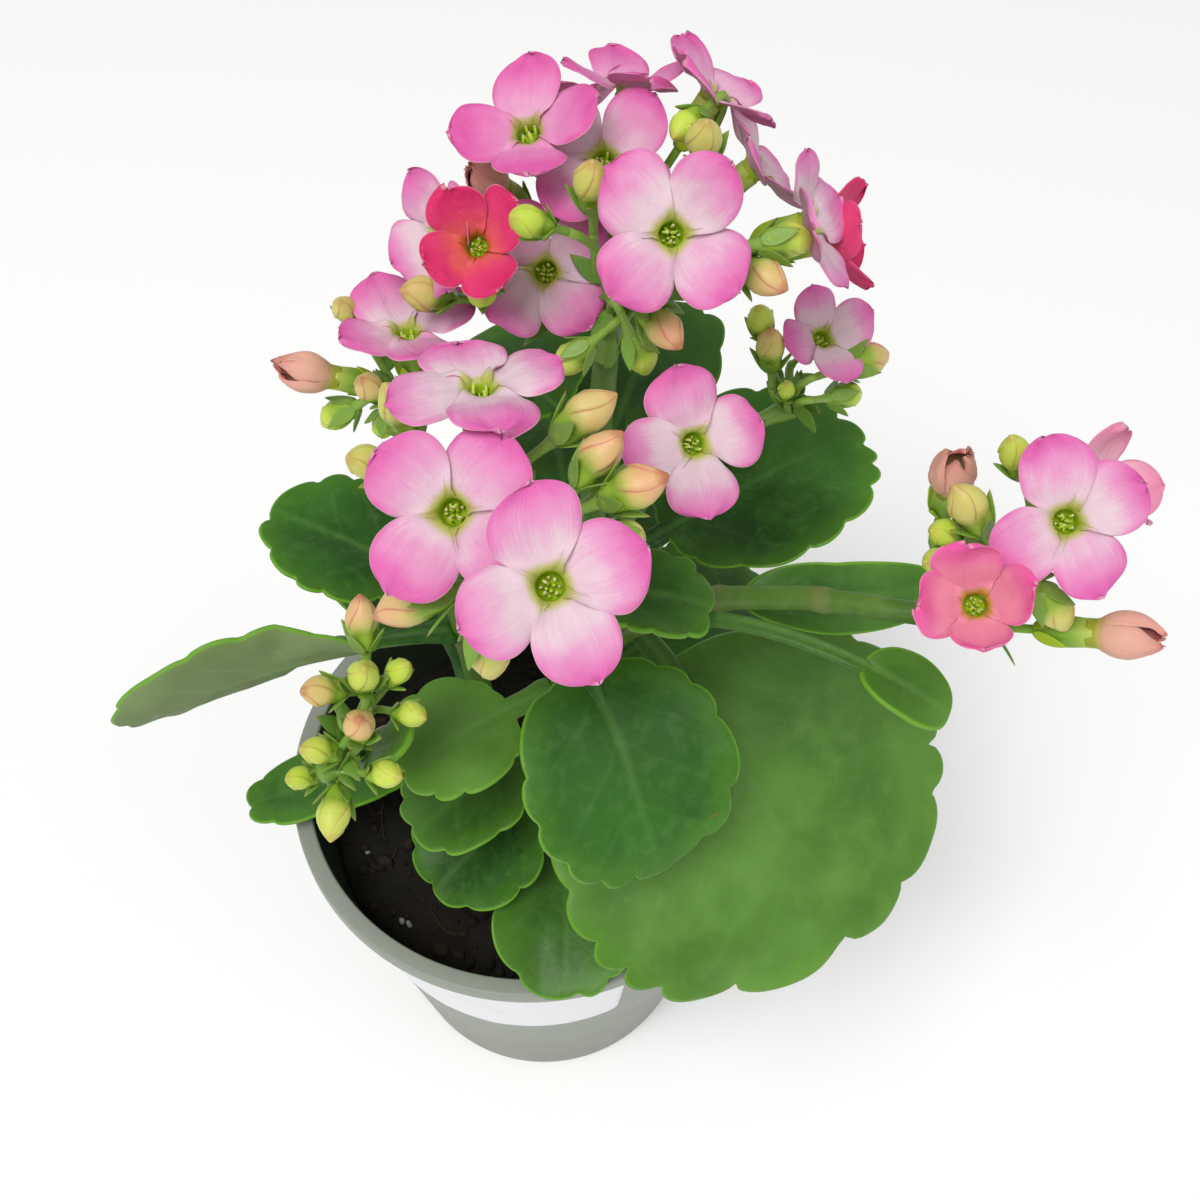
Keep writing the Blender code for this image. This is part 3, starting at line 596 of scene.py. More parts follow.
# name: (shoot, height, azimuth, rise at the stem, rise at the tip, stalk, blade, width, roll, cup,
#        teeth, how young)
LEAVES = {
    "leaf_front_large": ("top", 152, 36, 12, -54, 22, 67, 86, 0, -0.05, 17, 0.42),
    "leaf_front_middle": ("front", 183, 25, 6, -70, 8, 39, 37, 0, 0.04, 12, 0.0),
    "leaf_right_back": ("top", 152, 114, 24, 6, 14, 46, 44, 0, 0.06, 15, 0.05),
    "leaf_back_top": ("top", 182, 160, 24, 0, 8, 32, 32, 0, 0.08, 10, 0.05),
    "leaf_back_left": ("top", 192, -135, 14, -10, 6, 26, 26, 0, 0.08, 9, 0.1),
    "leaf_middle_right": ("front", 198, 80, 20, -20, 4, 20, 20, -10, 0.06, 9, 0.05),
    "leaf_left": ("left", 156, -106, 34, 10, 6, 30, 32, 10, 0.06, 10, 0.0),
    "leaf_left_long": ("left", 146, -68, 20, -14, 14, 52, 28, 74, 0.12, 12, 0.1),
    "leaf_low_left": ("left", 101, -75, 0, -6, 14, 38, 20, 8, 0.08, 8, 0.1),
    "leaf_bright_left": ("front", 148, -56, 14, -14, 8, 25, 26, 0, 0.06, 9, 0.75),
    # The next three leaves are given a low youth partly as painted shade: they are darker than their age
    # alone would make them, for where they sit deep under the others.
    "leaf_inner_left": ("front", 128, -50, 10, -14, 8, 27, 25, 0, 0.06, 9, 0.22),
    "leaf_inner_low": ("front", 110, -44, 4, -20, 8, 28, 30, 0, 0.06, 9, 0.0),
    "leaf_rim_front": ("front", 95, 0, 30, -24, 8, 38, 32, 0, 0.16, 9, 0.2),
    "leaf_back_low": ("top", 128, 172, 26, -16, 12, 46, 42, 0, 0.08, 13, 0.1),
    "leaf_back_right_low": ("top", 108, 125, 20, -20, 12, 40, 38, 0, 0.08, 12, 0.15),
    "leaf_back_middle": ("top", 152, -168, 26, -4, 8, 34, 32, 0, 0.08, 10, 0.2),
    "leaf_back_left_low": ("left", 124, -150, 22, -14, 10, 42, 38, 0, 0.08, 12, 0.1),
    "bract_low_left": ("low_left", 156, 70, 60, 40, 3, 12, 12, 0, 0.1, 0, 0.7),
    "bract_right": ("right", 181, 94, -4, 4, 4, 36, 13, 50, 0.2, 0, 0.15),
    "bract_right_low": ("front", 172, 65, 62, -30, 58, 16, 12, 0, 0.15, 0, 0.45),
}


class Blade:
    """The curved sheet that one leaf lies in: along its midrib, across it, and up from it."""

    def __init__(self, shoot, height, azimuth, rise, tip_rise, stalk, blade, width, roll, cup):
        centre, radius = shoot_at(shoot, height)
        self.out = facing(azimuth)
        self.length = stalk + blade
        self.share = np.linspace(0, 1, 120)
        bend = np.radians(rise + (tip_rise - rise) * self.share)
        steps = np.cos(bend)[:, None] * self.out + np.sin(bend)[:, None] * UP
        between = (steps[1:] + steps[:-1]) / 2 * self.length / (len(steps) - 1)
        foot = centre + self.out * (radius + LEAF_THICKNESS / 2 + LEAF_CLEARANCE)
        self.midrib = foot + np.vstack([[0, 0, 0], np.cumsum(between, axis=0)])
        self.rise, self.tip_rise, self.roll = rise, tip_rise, roll
        self.width, self.cup = width, cup

    def at(self, along, across, up):
        """Points in space from lengths along the leaf, across it, and up from its middle sheet."""
        share = np.asarray(along) / self.length
        middle = np.stack([np.interp(share, self.share, self.midrib[:, k]) for k in range(3)], -1)
        bend = np.radians(self.rise + (self.tip_rise - self.rise) * share)[..., None]
        forward = np.cos(bend) * self.out + np.sin(bend) * UP
        middle = middle + forward * (np.minimum(share, 0) * self.length)[..., None]
        level = np.cross(UP, self.out)
        upright = np.cross(forward, level)
        turn = np.radians(self.roll) * np.clip(2 * share, 0, 1)[..., None]
        side = level * np.cos(turn) + upright * np.sin(turn)
        normal = upright * np.cos(turn) - level * np.sin(turn)
        lifted = up + self.cup * self.width * (across / (self.width / 2)) ** 2
        return middle + side * across[..., None] + normal * lifted[..., None]


def leaf_outline(rng, stalk, blade, width, teeth):
    """Angles round a blade, its plain outline along and across, and how deep the teeth cut it."""
    around = int(min(220, max(72, 1.15 * (blade + width))))
    if teeth:
        around = max(around, teeth * 13)
    angle = circle(around)
    along = blade / 2 * np.cos(angle)
    across = width / 2 * np.sign(np.sin(angle)) * np.abs(np.sin(angle)) ** 0.86
    uneven = 0.16 * np.sin(2 * angle + rng.uniform(0, 6)) + 0.07 * np.sin(5 * angle + rng.uniform(0, 6))
    tooth = ((angle + uneven) / (2 * np.pi) * teeth) % 1.0 if teeth else np.full(around, 0.5)
    from_tip = np.abs((angle + np.pi) % (2 * np.pi) - np.pi) / np.pi
    notch = 1 - np.abs(np.sin(np.pi * tooth**0.8)) ** 0.55
    return angle, along, across, np.clip(1.15 * (1 - from_tip), 0, 0.8) ** 0.5 * notch * (1.1 + 0.034 * width)


def leaf_form(seed, shoot, height, azimuth, rise, tip_rise, stalk, blade, width, roll, cup, teeth, young):
    """One leaf: a blade in rings from its middle to the margin and back underneath, and a stalk."""
    sheet = Blade(shoot, height, azimuth, rise, tip_rise, stalk, blade, width, roll, cup)
    angle, along, across, bite = leaf_outline(np.random.default_rng(seed), stalk, blade, width, teeth)
    radius = np.hypot(along, across)
    rings, marks = [], []
    for below, places in ((0.0, RING_PLACES), (1.0, RING_PLACES[-2::-1])):
        for place in places:
            share = (0.012 + 0.988 * place) * (1 - bite / radius * place**5)
            x = blade / 2 + along * share
            y = across * share
            half = LEAF_THICKNESS / 2 * np.sqrt(1 - max(0.0, 2 * place - 1) ** 6) * 0.92 + 0.06
            rib = np.exp(-((y / (0.035 * width + 0.4)) ** 2)) * np.clip(1 - x / blade, 0, 1)
            vein = np.abs(((x - np.abs(y) * 0.75) / (0.17 * blade) + 10) % 1.0 - 0.5) * 2
            flat = np.stack([stalk + x, y, 0 * x + 7 * seed], -1)
            swell = 0.024 * width * ripple(flat, 0.6 * width, seed) + 0.34 * ripple(flat, 11, seed + 50)
            swell = swell * np.clip(np.abs(y) / 5, 0, 1)
            swell += 0.012 * width * place**3 * np.sin(3 * angle + seed) + 0.1 * (1 - vein) * (1 - place)
            up = swell - half - 0.9 * rib if below else swell + half - 0.42 * rib
            rings.append(sheet.at(stalk + x, y, up))
            marks.append((radius * (1 - place), 0 * x + below, x, y))
    margin, under, along, across = np.array(marks).transpose(1, 0, 2)
    made = Form("margin", "under", "along", "across", "young")
    made.loft(np.array(rings), margin=margin, under=under, along=along, across=across, young=young)

    steps = np.linspace(-1.6, stalk + 0.3 * blade, 26)[:, None]
    p = circle(20)
    narrow = np.clip((steps - stalk) / (0.3 * blade), 0, 1)
    foot = 1 + 0.35 * np.exp(-((steps / 3) ** 2))
    half = STALK_WIDTH / 2 * min(1.0, width / 20) * (1 - 0.8 * narrow) * foot
    deep = STALK_DEPTH / 2 * min(1.0, width / 16) * (1 - 0.75 * narrow)
    groove = 0.5 * np.exp(-((np.cos(p) / 0.35) ** 2)) * (np.sin(p) > 0)
    x, y = steps + 0 * p, half * np.cos(p)
    stalk_rings = sheet.at(x, y, deep * (np.sin(p) - groove))
    under = (np.sin(p) < -0.2) * 0.6
    made.loft(stalk_rings, margin=9.0, under=under, along=x - stalk, across=y, young=young)
    return made


leaf_skin, w = new_finish(
    "leaf_skin",
    Specular_IOR_Level=0.3,
    Subsurface_Weight=0.05,
    Subsurface_Radius=(0.0015, 0.003, 0.0005),
    Coat_Roughness=0.3,
)
along, across, margin = w.painted("along"), w.painted("across"), w.painted("margin")
under, young = w.painted("under"), w.painted("young")
cloud = w.noise(26, 3, 0.45).step(0.28, 0.72)
patch = w.noise(9.0, 4, 0.5).step(0.44, 0.74)
mottle = w.noise(2.6, 5, 0.62).step(0.46, 0.7)
fine = w.noise(0.45, 3, 0.6)
out = w.maths("ABSOLUTE", across)
midrib = out.step(1.3, 0.0) * along.step(55, 0)
rays = w.maths("PINGPONG", (along - out * 0.8) / 9.5 + w.noise(14, 2) * 0.9, 0.5) * 2
veins = rays.step(0.22, 0.0) * margin.step(1.0, 7.0)
rim = (margin + fine * 0.4).step(0.95, 0.35)
near_rim = margin.step(7.0, 0.6)
deep_green = cloud.mix((0.005, 0.042, 0.002), (0.03, 0.135, 0.008))
light_green = cloud.mix((0.12, 0.3, 0.028), (0.215, 0.44, 0.07))
upper = young.mix(deep_green, light_green)
upper = (patch * 0.34).mix(upper, young.mix((0.06, 0.2, 0.02), (0.28, 0.5, 0.1)))
# Painted shade: each blade is darkened towards its foot, where the leaves above shade it.
upper = (along.step(30, 2) * 0.5).mix(upper, (0.008, 0.05, 0.004))
upper = (mottle * 0.2).mix(upper, (0.11, 0.25, 0.055))
upper = (near_rim * 0.2).mix(upper, (0.13, 0.34, 0.01))
upper = (midrib * 0.3 + veins * 0.07).mix(upper, (0.14, 0.3, 0.06))
fleck = w.noise(1.7, 2, 0.4).step(0.745, 0.775) * w.noise(26, 2).step(0.5, 0.6)
upper = (fleck * 0.7).mix(upper, (0.19, 0.13, 0.05))
lower = cloud.mix((0.125, 0.195, 0.06), (0.2, 0.28, 0.105))
lower = (midrib * 0.5 + veins * 0.25).mix(lower, (0.24, 0.32, 0.17))
tissue = under.mix(upper, lower)
tissue = (rim * 0.72).mix(tissue, (0.15, 0.38, 0.016))
relief = patch * 0.34 + mottle * 0.2 + fine * 0.14 - veins * 0.12 - midrib * 0.25
feed(
    leaf_skin,
    relief=relief,
    depth=0.16,
    Base_Color=tissue,
    Roughness=0.4 + fine * 0.1 + cloud * 0.1 + under * 0.12,
    Coat_Weight=mottle * 0.05,
)
for seed, (name, sizes) in enumerate(LEAVES.items()):
    leaf_form(seed + 1, *sizes).piece(f"{name}_blade", leaf_skin, "leaf", name)


# ------------------------------------------------------------------------------------------------
# Flower heads.  Each shoot ends in a cyme: pale green arms that fork from its tip, with a pair of
# small leafy bracts near each fork and plump buds on short stalks.  A bud is four petals rolled
# round each other over a green tube, so that it shows four seams, with four sepals at its foot.

# A flower's roll is measured from this direction, back and up.
ROLL_UP = np.array([0.0, 0.8, 0.6])
PETAL_LENGTH = 9.6
TUBE_LENGTH = 9.5
PEDICEL_LENGTH = 8.0
PEDICEL_RADIUS = 0.7
ARM_RADIUS = 0.85
ARM_POINTS = 12
NECK_LENGTH = 6.3
HUB_RADIUS = 2.3
BUD_LENGTH = 9.8
BUD_RADIUS = 2.8
SEPAL_LENGTH = 4.6
SEPAL_WIDTH = 1.9
BUD_PEDICEL = 5.0
BUD_TWIST = 1.5
# (how far up a bud, radius as a share of BUD_RADIUS)
BUD_SHAPE = [
    (0, 0.4), (0.07, 0.62), (0.18, 0.74), (0.32, 0.78), (0.42, 0.9), (0.54, 0.96),
    (0.66, 0.88), (0.78, 0.68), (0.88, 0.44), (0.96, 0.2), (1, 0.05),
]

# name: (cyme, throat x, y, z, faces azimuth, faces elevation, roll, openness, size, petals)
FLOWERS = {
    "flower_top_front": ("top", 6.5, 9.5, 232.5, -8, 46, 38, 1.0, 1.0, "pink"),
    "flower_top_front_right": ("top", 25, -3, 250, 8, 44, -38, 1.0, 1.03, "pink"),
    "flower_top_left_high": ("top", 4.5, 16.5, 252.5, -30, 72, 10, 0.72, 0.96, "rose"),
    "flower_top_middle": ("top", 15.5, 17, 247.5, 0, 66, 45, 0.92, 0.96, "pink"),
    "flower_top_left": ("top", -8.5, 10.5, 239, -50, 30, 20, 0.8, 0.9, "pink"),
    "flower_top_left_red": ("top", -3, 3, 243, -10, 52, 30, 0.58, 0.85, "crimson"),
    "flower_top_back": ("top", 19.5, 30.5, 250.5, 165, 62, 0, 0.75, 0.95, "rose"),
    "flower_top_back_right": ("top", 32, 26.5, 252, 120, 52, 10, 0.85, 0.95, "rose"),
    "flower_top_right_high": ("top", 39, 23, 241.5, 100, 38, 0, 0.85, 0.95, "pink"),
    "flower_top_right": ("top", 46.5, 11.5, 240, 80, 30, 20, 0.85, 0.95, "pink"),
    "flower_top_right_red": ("top", 50.5, 20, 229.5, 88, 12, 0, 0.5, 0.95, "crimson"),
    "flower_top_back_left": ("top", 10, 36, 242, -160, 50, 20, 0.7, 0.95, "rose"),
    "flower_top_left_bud": ("top", -1, 21, 240, -50, 52, 0, 0.1, 0.9, "salmon"),
    "flower_left": ("left", -15.5, 5.5, 223.5, 180, 82, 30, 0.97, 0.98, "pink"),
    "flower_left_bud": ("left", -29.5, 5, 214.5, -80, 24, 0, 0.25, 0.9, "salmon"),
    "flower_front_high": ("front", -1, -26, 243, 180, 76, 20, 0.95, 1.03, "pink"),
    "flower_front_left": ("front", -4, -44, 239, -10, 52, 48, 1.0, 1.06, "pink"),
    "flower_front_low": ("front", 9, -58, 242, 5, 56, 22, 1.0, 1.05, "pink"),
    "flower_front_right": ("front", 29.5, -12.5, 217.5, 22, 48, 15, 1.0, 1.0, "pink"),
    "flower_back_right": ("back_right", 55, 27.5, 201.5, 30, 60, 20, 0.75, 0.85, "pink"),
    "flower_right_front": ("right", 78, -39, 231, -5, 54, 25, 1.0, 0.97, "pink"),
    "flower_right_cup": ("right", 65.5, -48.5, 225, -15, 60, 10, 0.55, 0.85, "hot"),
    "flower_right_back": ("right", 86, -27, 224, 70, 50, 0, 0.55, 0.85, "pale"),
    "flower_right_bud": ("right", 86, -46, 214.5, 70, 20, 0, 0.22, 0.95, "salmon"),
    "flower_right_tall_bud": ("right", 66, -25, 222.5, -20, 78, 0, 0.2, 0.95, "salmon"),
}

# cyme: [(bud base x, y, z, points azimuth, points elevation, size, how cream, how blushed)]
BUDS = {
    "top": [
        (14, 5.5, 247.5, -2, 80, 1.0, 0.5, 0.25),
        (8, -1.5, 250, -52, 38, 0.85, 0.05, 0.0),
        (-3, 5, 233.5, 8, 28, 0.85, 0.1, 0.0),
        (-8, 7.5, 229, -60, 32, 1.0, 0.7, 0.35),
        (21.5, 0, 233.5, 34, -2, 1.0, 0.9, 0.9),
        (19.5, 0, 228.5, 92, -72, 0.95, 0.1, 0.0),
        (13.5, -0.5, 227, -94, -50, 0.9, 0.4, 0.0),
        (38, 1.5, 244.5, 116, -16, 1.0, 0.25, 0.05),
        (35.5, 3, 239.5, 42, 8, 1.0, 0.9, 0.7),
        (29.5, 17.5, 255, -32, 4, 0.8, 0.1, 0.0),
        (30, 9, 253, -10, 72, 0.95, 0.7, 0.1),
    ],
    "left": [
        (-25.5, 3.5, 209, -104, -42, 0.95, 0.1, 0.0),
        (-21, 2.5, 208.5, -140, -78, 0.75, 0.1, 0.0),
        (-20.5, 2, 212.5, -38, 62, 0.85, 0.8, 0.45),
        (-25, 11, 221, -20, 66, 0.75, 0.8, 0.1),
    ],
    "front": [
        (9, -28.5, 236, 104, 38, 1.1, 1.0, 0.3),
        (12, -35, 234, 110, 52, 1.05, 1.0, 0.75),
        (15.5, -37.5, 233.5, 82, 38, 1.1, 0.6, 1.0),
        (15.5, -42.5, 233, 116, -42, 0.85, 0.6, 0.1),
        (-10.5, -26, 234, -106, 68, 1.0, 0.65, 0.05),
        (-13.5, -32.5, 234, -52, 48, 0.9, 0.5, 0.1),
        (-4.5, -47.5, 227, -78, -16, 1.2, 1.0, 0.7),
        (-1, -52, 226, 26, -76, 1.1, 0.8, 0.1),
    ],
    "low_left": [
        (-24, -28.5, 184.5, -178, 62, 1.05, 1.0, 0.8),
        (-24.5, -32, 178.5, 32, 74, 1.0, 0.3, 0.0),
        (-28, -33, 178.5, -56, 42, 0.95, 0.7, 0.55),
        (-20.5, -30.5, 177.5, 84, 60, 0.8, 0.1, 0.0),
        (-25.5, -38, 172.5, 30, 74, 1.0, 0.9, 0.65),
        (-20, -33, 172, 56, 32, 0.85, 0.2, 0.0),
        (-30, -38.5, 167, -64, 48, 0.9, 0.2, 0.1),
        (-24, -42.5, 167.5, 60, 36, 0.9, 0.2, 0.0),
        (-35, -38.5, 159, -48, 46, 0.8, 0.1, 0.0),
        (-30.5, -42, 162, 0, 2, 1.1, 0.35, 0.05),
    ],
    "back_right": [
        (44.5, 27.5, 201.5, -66, 76, 0.9, 0.1, 0.0),
        (46, 24, 197.5, -94, 84, 1.0, 0.6, 0.45),
        (58.5, 23, 198.5, 122, -10, 1.15, 0.8, 0.85),
        (56.5, 20, 194, 126, -26, 0.95, 0.1, 0.0),
        (49, 20.5, 193.5, -22, 70, 0.6, 0.1, 0.0),
    ],
    "right": [
        (68, -37, 226.5, -104, 54, 1.0, 0.8, 0.1),
        (66, -35.5, 223, -70, 36, 0.75, 0.1, 0.0),
        (65.5, -38, 220.5, -66, 30, 0.75, 0.15, 0.0),
        (75.5, -43, 221.5, 66, -48, 0.95, 0.7, 0.15),
        (74.5, -28.5, 228.5, -98, 66, 0.85, 0.2, 0.05),
    ],
}


def flower_axes(azimuth, elevation, roll=0.0):
    """Rows: across, up and out of a flower that faces this way, turned about its axis by roll."""
    axis = facing(azimuth, elevation)
    up = unit(ROLL_UP - axis * ROLL_UP.dot(axis))
    side = np.cross(up, axis)
    sine, cosine = math.sin(math.radians(roll)), math.cos(math.radians(roll))
    return np.array([side * cosine + up * sine, up * cosine - side * sine, axis])


def away_from(axes, degrees):
    """The unit vector across a flower's axis, this far round from its up."""
    return axes[0] * math.sin(math.radians(degrees)) + axes[1] * math.cos(math.radians(degrees))


def arm_line(hub, end, axis):
    """A branch that leaves the hub, bows, and ends at end, running along axis."""
    t = np.linspace(0, 1, ARM_POINTS)[:, None]
    first = hub + (end - hub) * 0.3
    second = end - axis * np.linalg.norm(end - hub) * 0.45
    return hub * (1 - t) ** 3 + first * 3 * t * (1 - t) ** 2 + second * 3 * t * t * (1 - t) + end * t**3


LEAFLET_WAY = np.linspace(0, 1, 11)[:, None]


def leaflet(form, foot, direction, outward, length, width, thick, curl, **values):
    """A small pointed leaf, such as a sepal or a bract, that bends outwards as it goes."""
    t = LEAFLET_WAY
    line = foot + (direction * t + outward * curl * t**2) * length
    side = unit(np.cross(direction, outward))
    half = width / 2 * (0.32 * (1 - t) + np.sin(np.pi * t**0.75) ** 0.9 + 0.03)
    p = circle(12)
    hollow = 0.12 * width * np.cos(p) ** 2
    rings = line[:, None] + (half * np.cos(p))[..., None] * side
    deep = np.minimum(thick / 2, half) * np.sin(p) + hollow * np.minimum(1, half * 2 / width)
    form.loft(rings + deep[..., None] * outward, **values)


def sepals(form, axes, foot, size, spread, **values):
    """Four sepals round the foot of a bud or a flower."""
    for k in range(4):
        out = away_from(axes, 45 + 90 * k)
        start, way = foot + out * 0.7 * size, axes[2] + out * spread
        leaflet(form, start, way, out, SEPAL_LENGTH * size, SEPAL_WIDTH * size, 0.45, 0.12, **values)


def bud(form, axes, base, size, cream, blush):
    """One bud: a loft of rings with four overlapping petals, a little twisted towards its tip."""
    t = np.linspace(0, 1, 30)[:, None]
    p = np.linspace(0, 1, 44, endpoint=False)
    shape = np.array(BUD_SHAPE)
    wide = np.interp(t, shape[:, 0], shape[:, 1]) * BUD_RADIUS * size
    lobe = (p * 4) % 1.0
    rolled = np.clip((t - 0.34) / 0.12, 0, 1)
    wide = wide * (1 + rolled * (0.11 * lobe - 0.05) + 0.04 * np.cos(8 * np.pi * p) * (1 - rolled))
    a = 2 * np.pi * p + BUD_TWIST * t**1.6
    around = np.cos(a)[..., None] * axes[0] + np.sin(a)[..., None] * axes[1]
    bow = 0.35 * size * np.sin(np.pi * t)[..., None] * axes[1]
    rings = base + wide[..., None] * around + (t * BUD_LENGTH * size)[..., None] * axes[2] + bow
    seam = np.clip(1 - np.minimum(lobe, 1 - lobe) * 9, 0, 1) * rolled
    form.loft(rings, reach=t, seam=seam, cream=cream, blush=blush)


stalk_skin, w = new_finish(
    "stalk_skin", Specular_IOR_Level=0.5, Subsurface_Weight=0.08, Subsurface_Radius=(0.002, 0.003, 0.0006)
)
cloud, fine = w.noise(3.5, 4, 0.6), w.noise(0.7, 4, 0.6)
green = cloud.mix((0.085, 0.2, 0.02), (0.17, 0.33, 0.04))
green = (w.painted("fresh") * 0.8).mix(green, fine.mix((0.26, 0.43, 0.05), (0.36, 0.52, 0.08)))
green = ((w.painted("leafy") - 0.55) * 2.2 * fine).mix(green, (0.085, 0.215, 0.018))
green = (w.painted("tip").step(0.86, 1.0) * 0.7).mix(green, (0.3, 0.16, 0.05))
feed(stalk_skin, fine + cloud, depth=0.08, Base_Color=green, Roughness=0.4 + fine * 0.15)

bud_skin, w = new_finish(
    "bud_skin", Specular_IOR_Level=0.45, Subsurface_Weight=0.15, Subsurface_Radius=(0.003, 0.002, 0.0008)
)
reach, seam, cream, blush = (w.painted(k) for k in ("reach", "seam", "cream", "blush"))
cloud, fine = w.noise(3, 4, 0.6), w.noise(0.45, 4, 0.65)
tube_green = cloud.mix((0.17, 0.33, 0.02), (0.33, 0.48, 0.04))
lime = cloud.mix((0.42, 0.6, 0.035), (0.58, 0.72, 0.075))
ivory = cloud.mix((0.56, 0.46, 0.125), (0.68, 0.6, 0.22))
salmon = fine.mix((0.74, 0.27, 0.19), (0.78, 0.4, 0.25))
petals = cream.mix(lime, ivory)
flush = blush * ((reach - 0.3) * 1.4 + (cloud - 0.5) * 1.6 + seam * 0.5)
petals = flush.mix(petals, salmon)
body = (reach + (cloud - 0.5) * 0.16 - blush * 0.1).step(0.24, 0.58).mix(tube_green, petals)
line = seam.step(0.45, 0.98) * fine.step(0.1, 0.5)
body = (line * (0.35 + 0.35 * cream)).mix(body, (0.44, 0.17, 0.07))
body = ((reach + fine * 0.1).step(0.9, 1.02) * (0.3 + blush * 0.6)).mix(body, (0.42, 0.14, 0.06))
feed(bud_skin, fine + cloud * 0.5, depth=0.05, Base_Color=body, Roughness=0.38 + fine * 0.16)

for name, buds in BUDS.items():
    rng = np.random.default_rng(len(buds) * 7 + 1)
    stalks, tops = Form("fresh", "leafy", "tip"), Form("reach", "seam", "cream", "blush")
    line, radii = shoot_line(name)
    end = line[-1]
    ahead = unit(line[-1] - line[-2])
    hub = end + ahead * NECK_LENGTH
    t = np.linspace(0, 1, 14)
    knob = radii[-1] + (HUB_RADIUS - radii[-1]) * np.sin(np.pi / 2 * t) ** 2 - 10 * np.clip(t - 0.85, 0, 1)
    stalks.loft(tube(end + (t * (NECK_LENGTH + 1.6) - 0.8)[:, None] * ahead, knob, 24), fresh=0.3)
    ends = []
    for cyme, x, y, z, azimuth, elevation, _, _, size, _ in FLOWERS.values():
        if cyme == name:
            axis = facing(azimuth, elevation)
            foot = np.array([x, y, z]) - axis * (TUBE_LENGTH + PEDICEL_LENGTH) * size
            ends.append((foot + axis * 0.6, axis, 1.0))
    for x, y, z, azimuth, elevation, size, cream_share, blush_share in buds:
        base, axes = np.array([x, y, z]), flower_axes(azimuth, elevation, rng.uniform(0, 90))
        ends.append((base - axes[2] * (BUD_PEDICEL * size - 0.5), axes[2], 0.8))
        pedicel = base + np.linspace(-BUD_PEDICEL * size, 0.7, 7)[:, None] * axes[2]
        swell = np.array([0.68, 0.68, 0.7, 0.74, 0.85, 1.05, 1.1]) * (0.55 + 0.45 * size)
        stalks.loft(tube(pedicel, swell, 14), fresh=0.6)
        foot = base - axes[2] * 0.5
        sepals(stalks, axes, foot, size * 1.12, 0.5, fresh=0.45, leafy=0.6, tip=LEAFLET_WAY)
        bud(tops, axes, base, size, cream_share, blush_share)
    for tip, axis, thick in ends:
        arm = arm_line(hub, tip, axis)
        thick = ARM_RADIUS * thick * (1 + 0.45 * np.linspace(1, 0, len(arm)) ** 3)
        stalks.loft(tube(arm, thick, 14), fresh=0.45 * np.linspace(0, 1, len(arm))[:, None] + 0.2)
        fork = arm[5]
        level = unit(np.cross(unit(fork - hub), axis) + rng.normal(0, 0.25, 3))
        for side in (level, -level):
            way = unit(side * 0.8 + axis * 0.75 + rng.normal(0, 0.12, 3))
            long = rng.uniform(3.8, 6.4)
            leafy, fresh = rng.uniform(0.8, 1.0), rng.uniform(0, 0.35)
            shape = (long, long * 0.48, 0.6, 0.25)
            leaflet(stalks, fork, way, side, *shape, leafy=leafy, fresh=fresh, tip=LEAFLET_WAY)
    stalks.piece(f"stalks_{name}", stalk_skin, "stem", f"cyme_{name}")
    tops.piece(f"buds_{name}", bud_skin, "bud", f"cyme_{name}")


# ------------------------------------------------------------------------------------------------
# Flowers.  Four broad petals, each lapping over the next, on a narrow green tube with eight small
# stamens in its mouth.  Open flowers are pink with pale centres and deeper edges; freshly opened
# ones are cups of crimson or hot pink, and the ones still rolled up are salmon.

PETAL_HALF_WIDTH = 5.9
# The green tube from its foot up, over its mouth and down inside: radius, height, how green.
TUBE_PROFILE = [
    (0.8, -9.9, 0.9), (1.25, -9.4, 0.9), (1.5, -8.6, 0.85), (2.05, -7.2, 0.75), (2.3, -5.8, 0.6),
    (2.25, -4.2, 0.45), (2.12, -2.6, 0.3), (2.12, -1.6, 0.2), (2.14, -1.1, 0.15), (1.98, -1.0, 0.5),
    (1.80, -1.6, 0.8), (1.6, -2.3, 1.0), (1.1, -2.8, 1.0), (0.05, -2.9, 1.0),
]
PETAL_THICKNESS = 0.3
PETAL_ROWS = 34
PETAL_COLUMNS = 27
CLAW_LENGTH = 2.2
CLAW_ROWS = 6
MOUTH_RADIUS = 2.35
SEPAL_FOOT = 0.38
PETAL_OVERLONG = 1.2

FLOWER_PAINTS = ("reach", "side", "under", "green", "pollen", "drift")

# How a petal's slope from the flower's axis, at its foot and at its tip, follows the openness.
OPENNESS = (0.1, 0.25, 0.5, 0.75, 1.0)
FOOT_SLOPE = (30, 34, 48, 58, 66)
TIP_SLOPE = (-62, -52, 26, 72, 100)


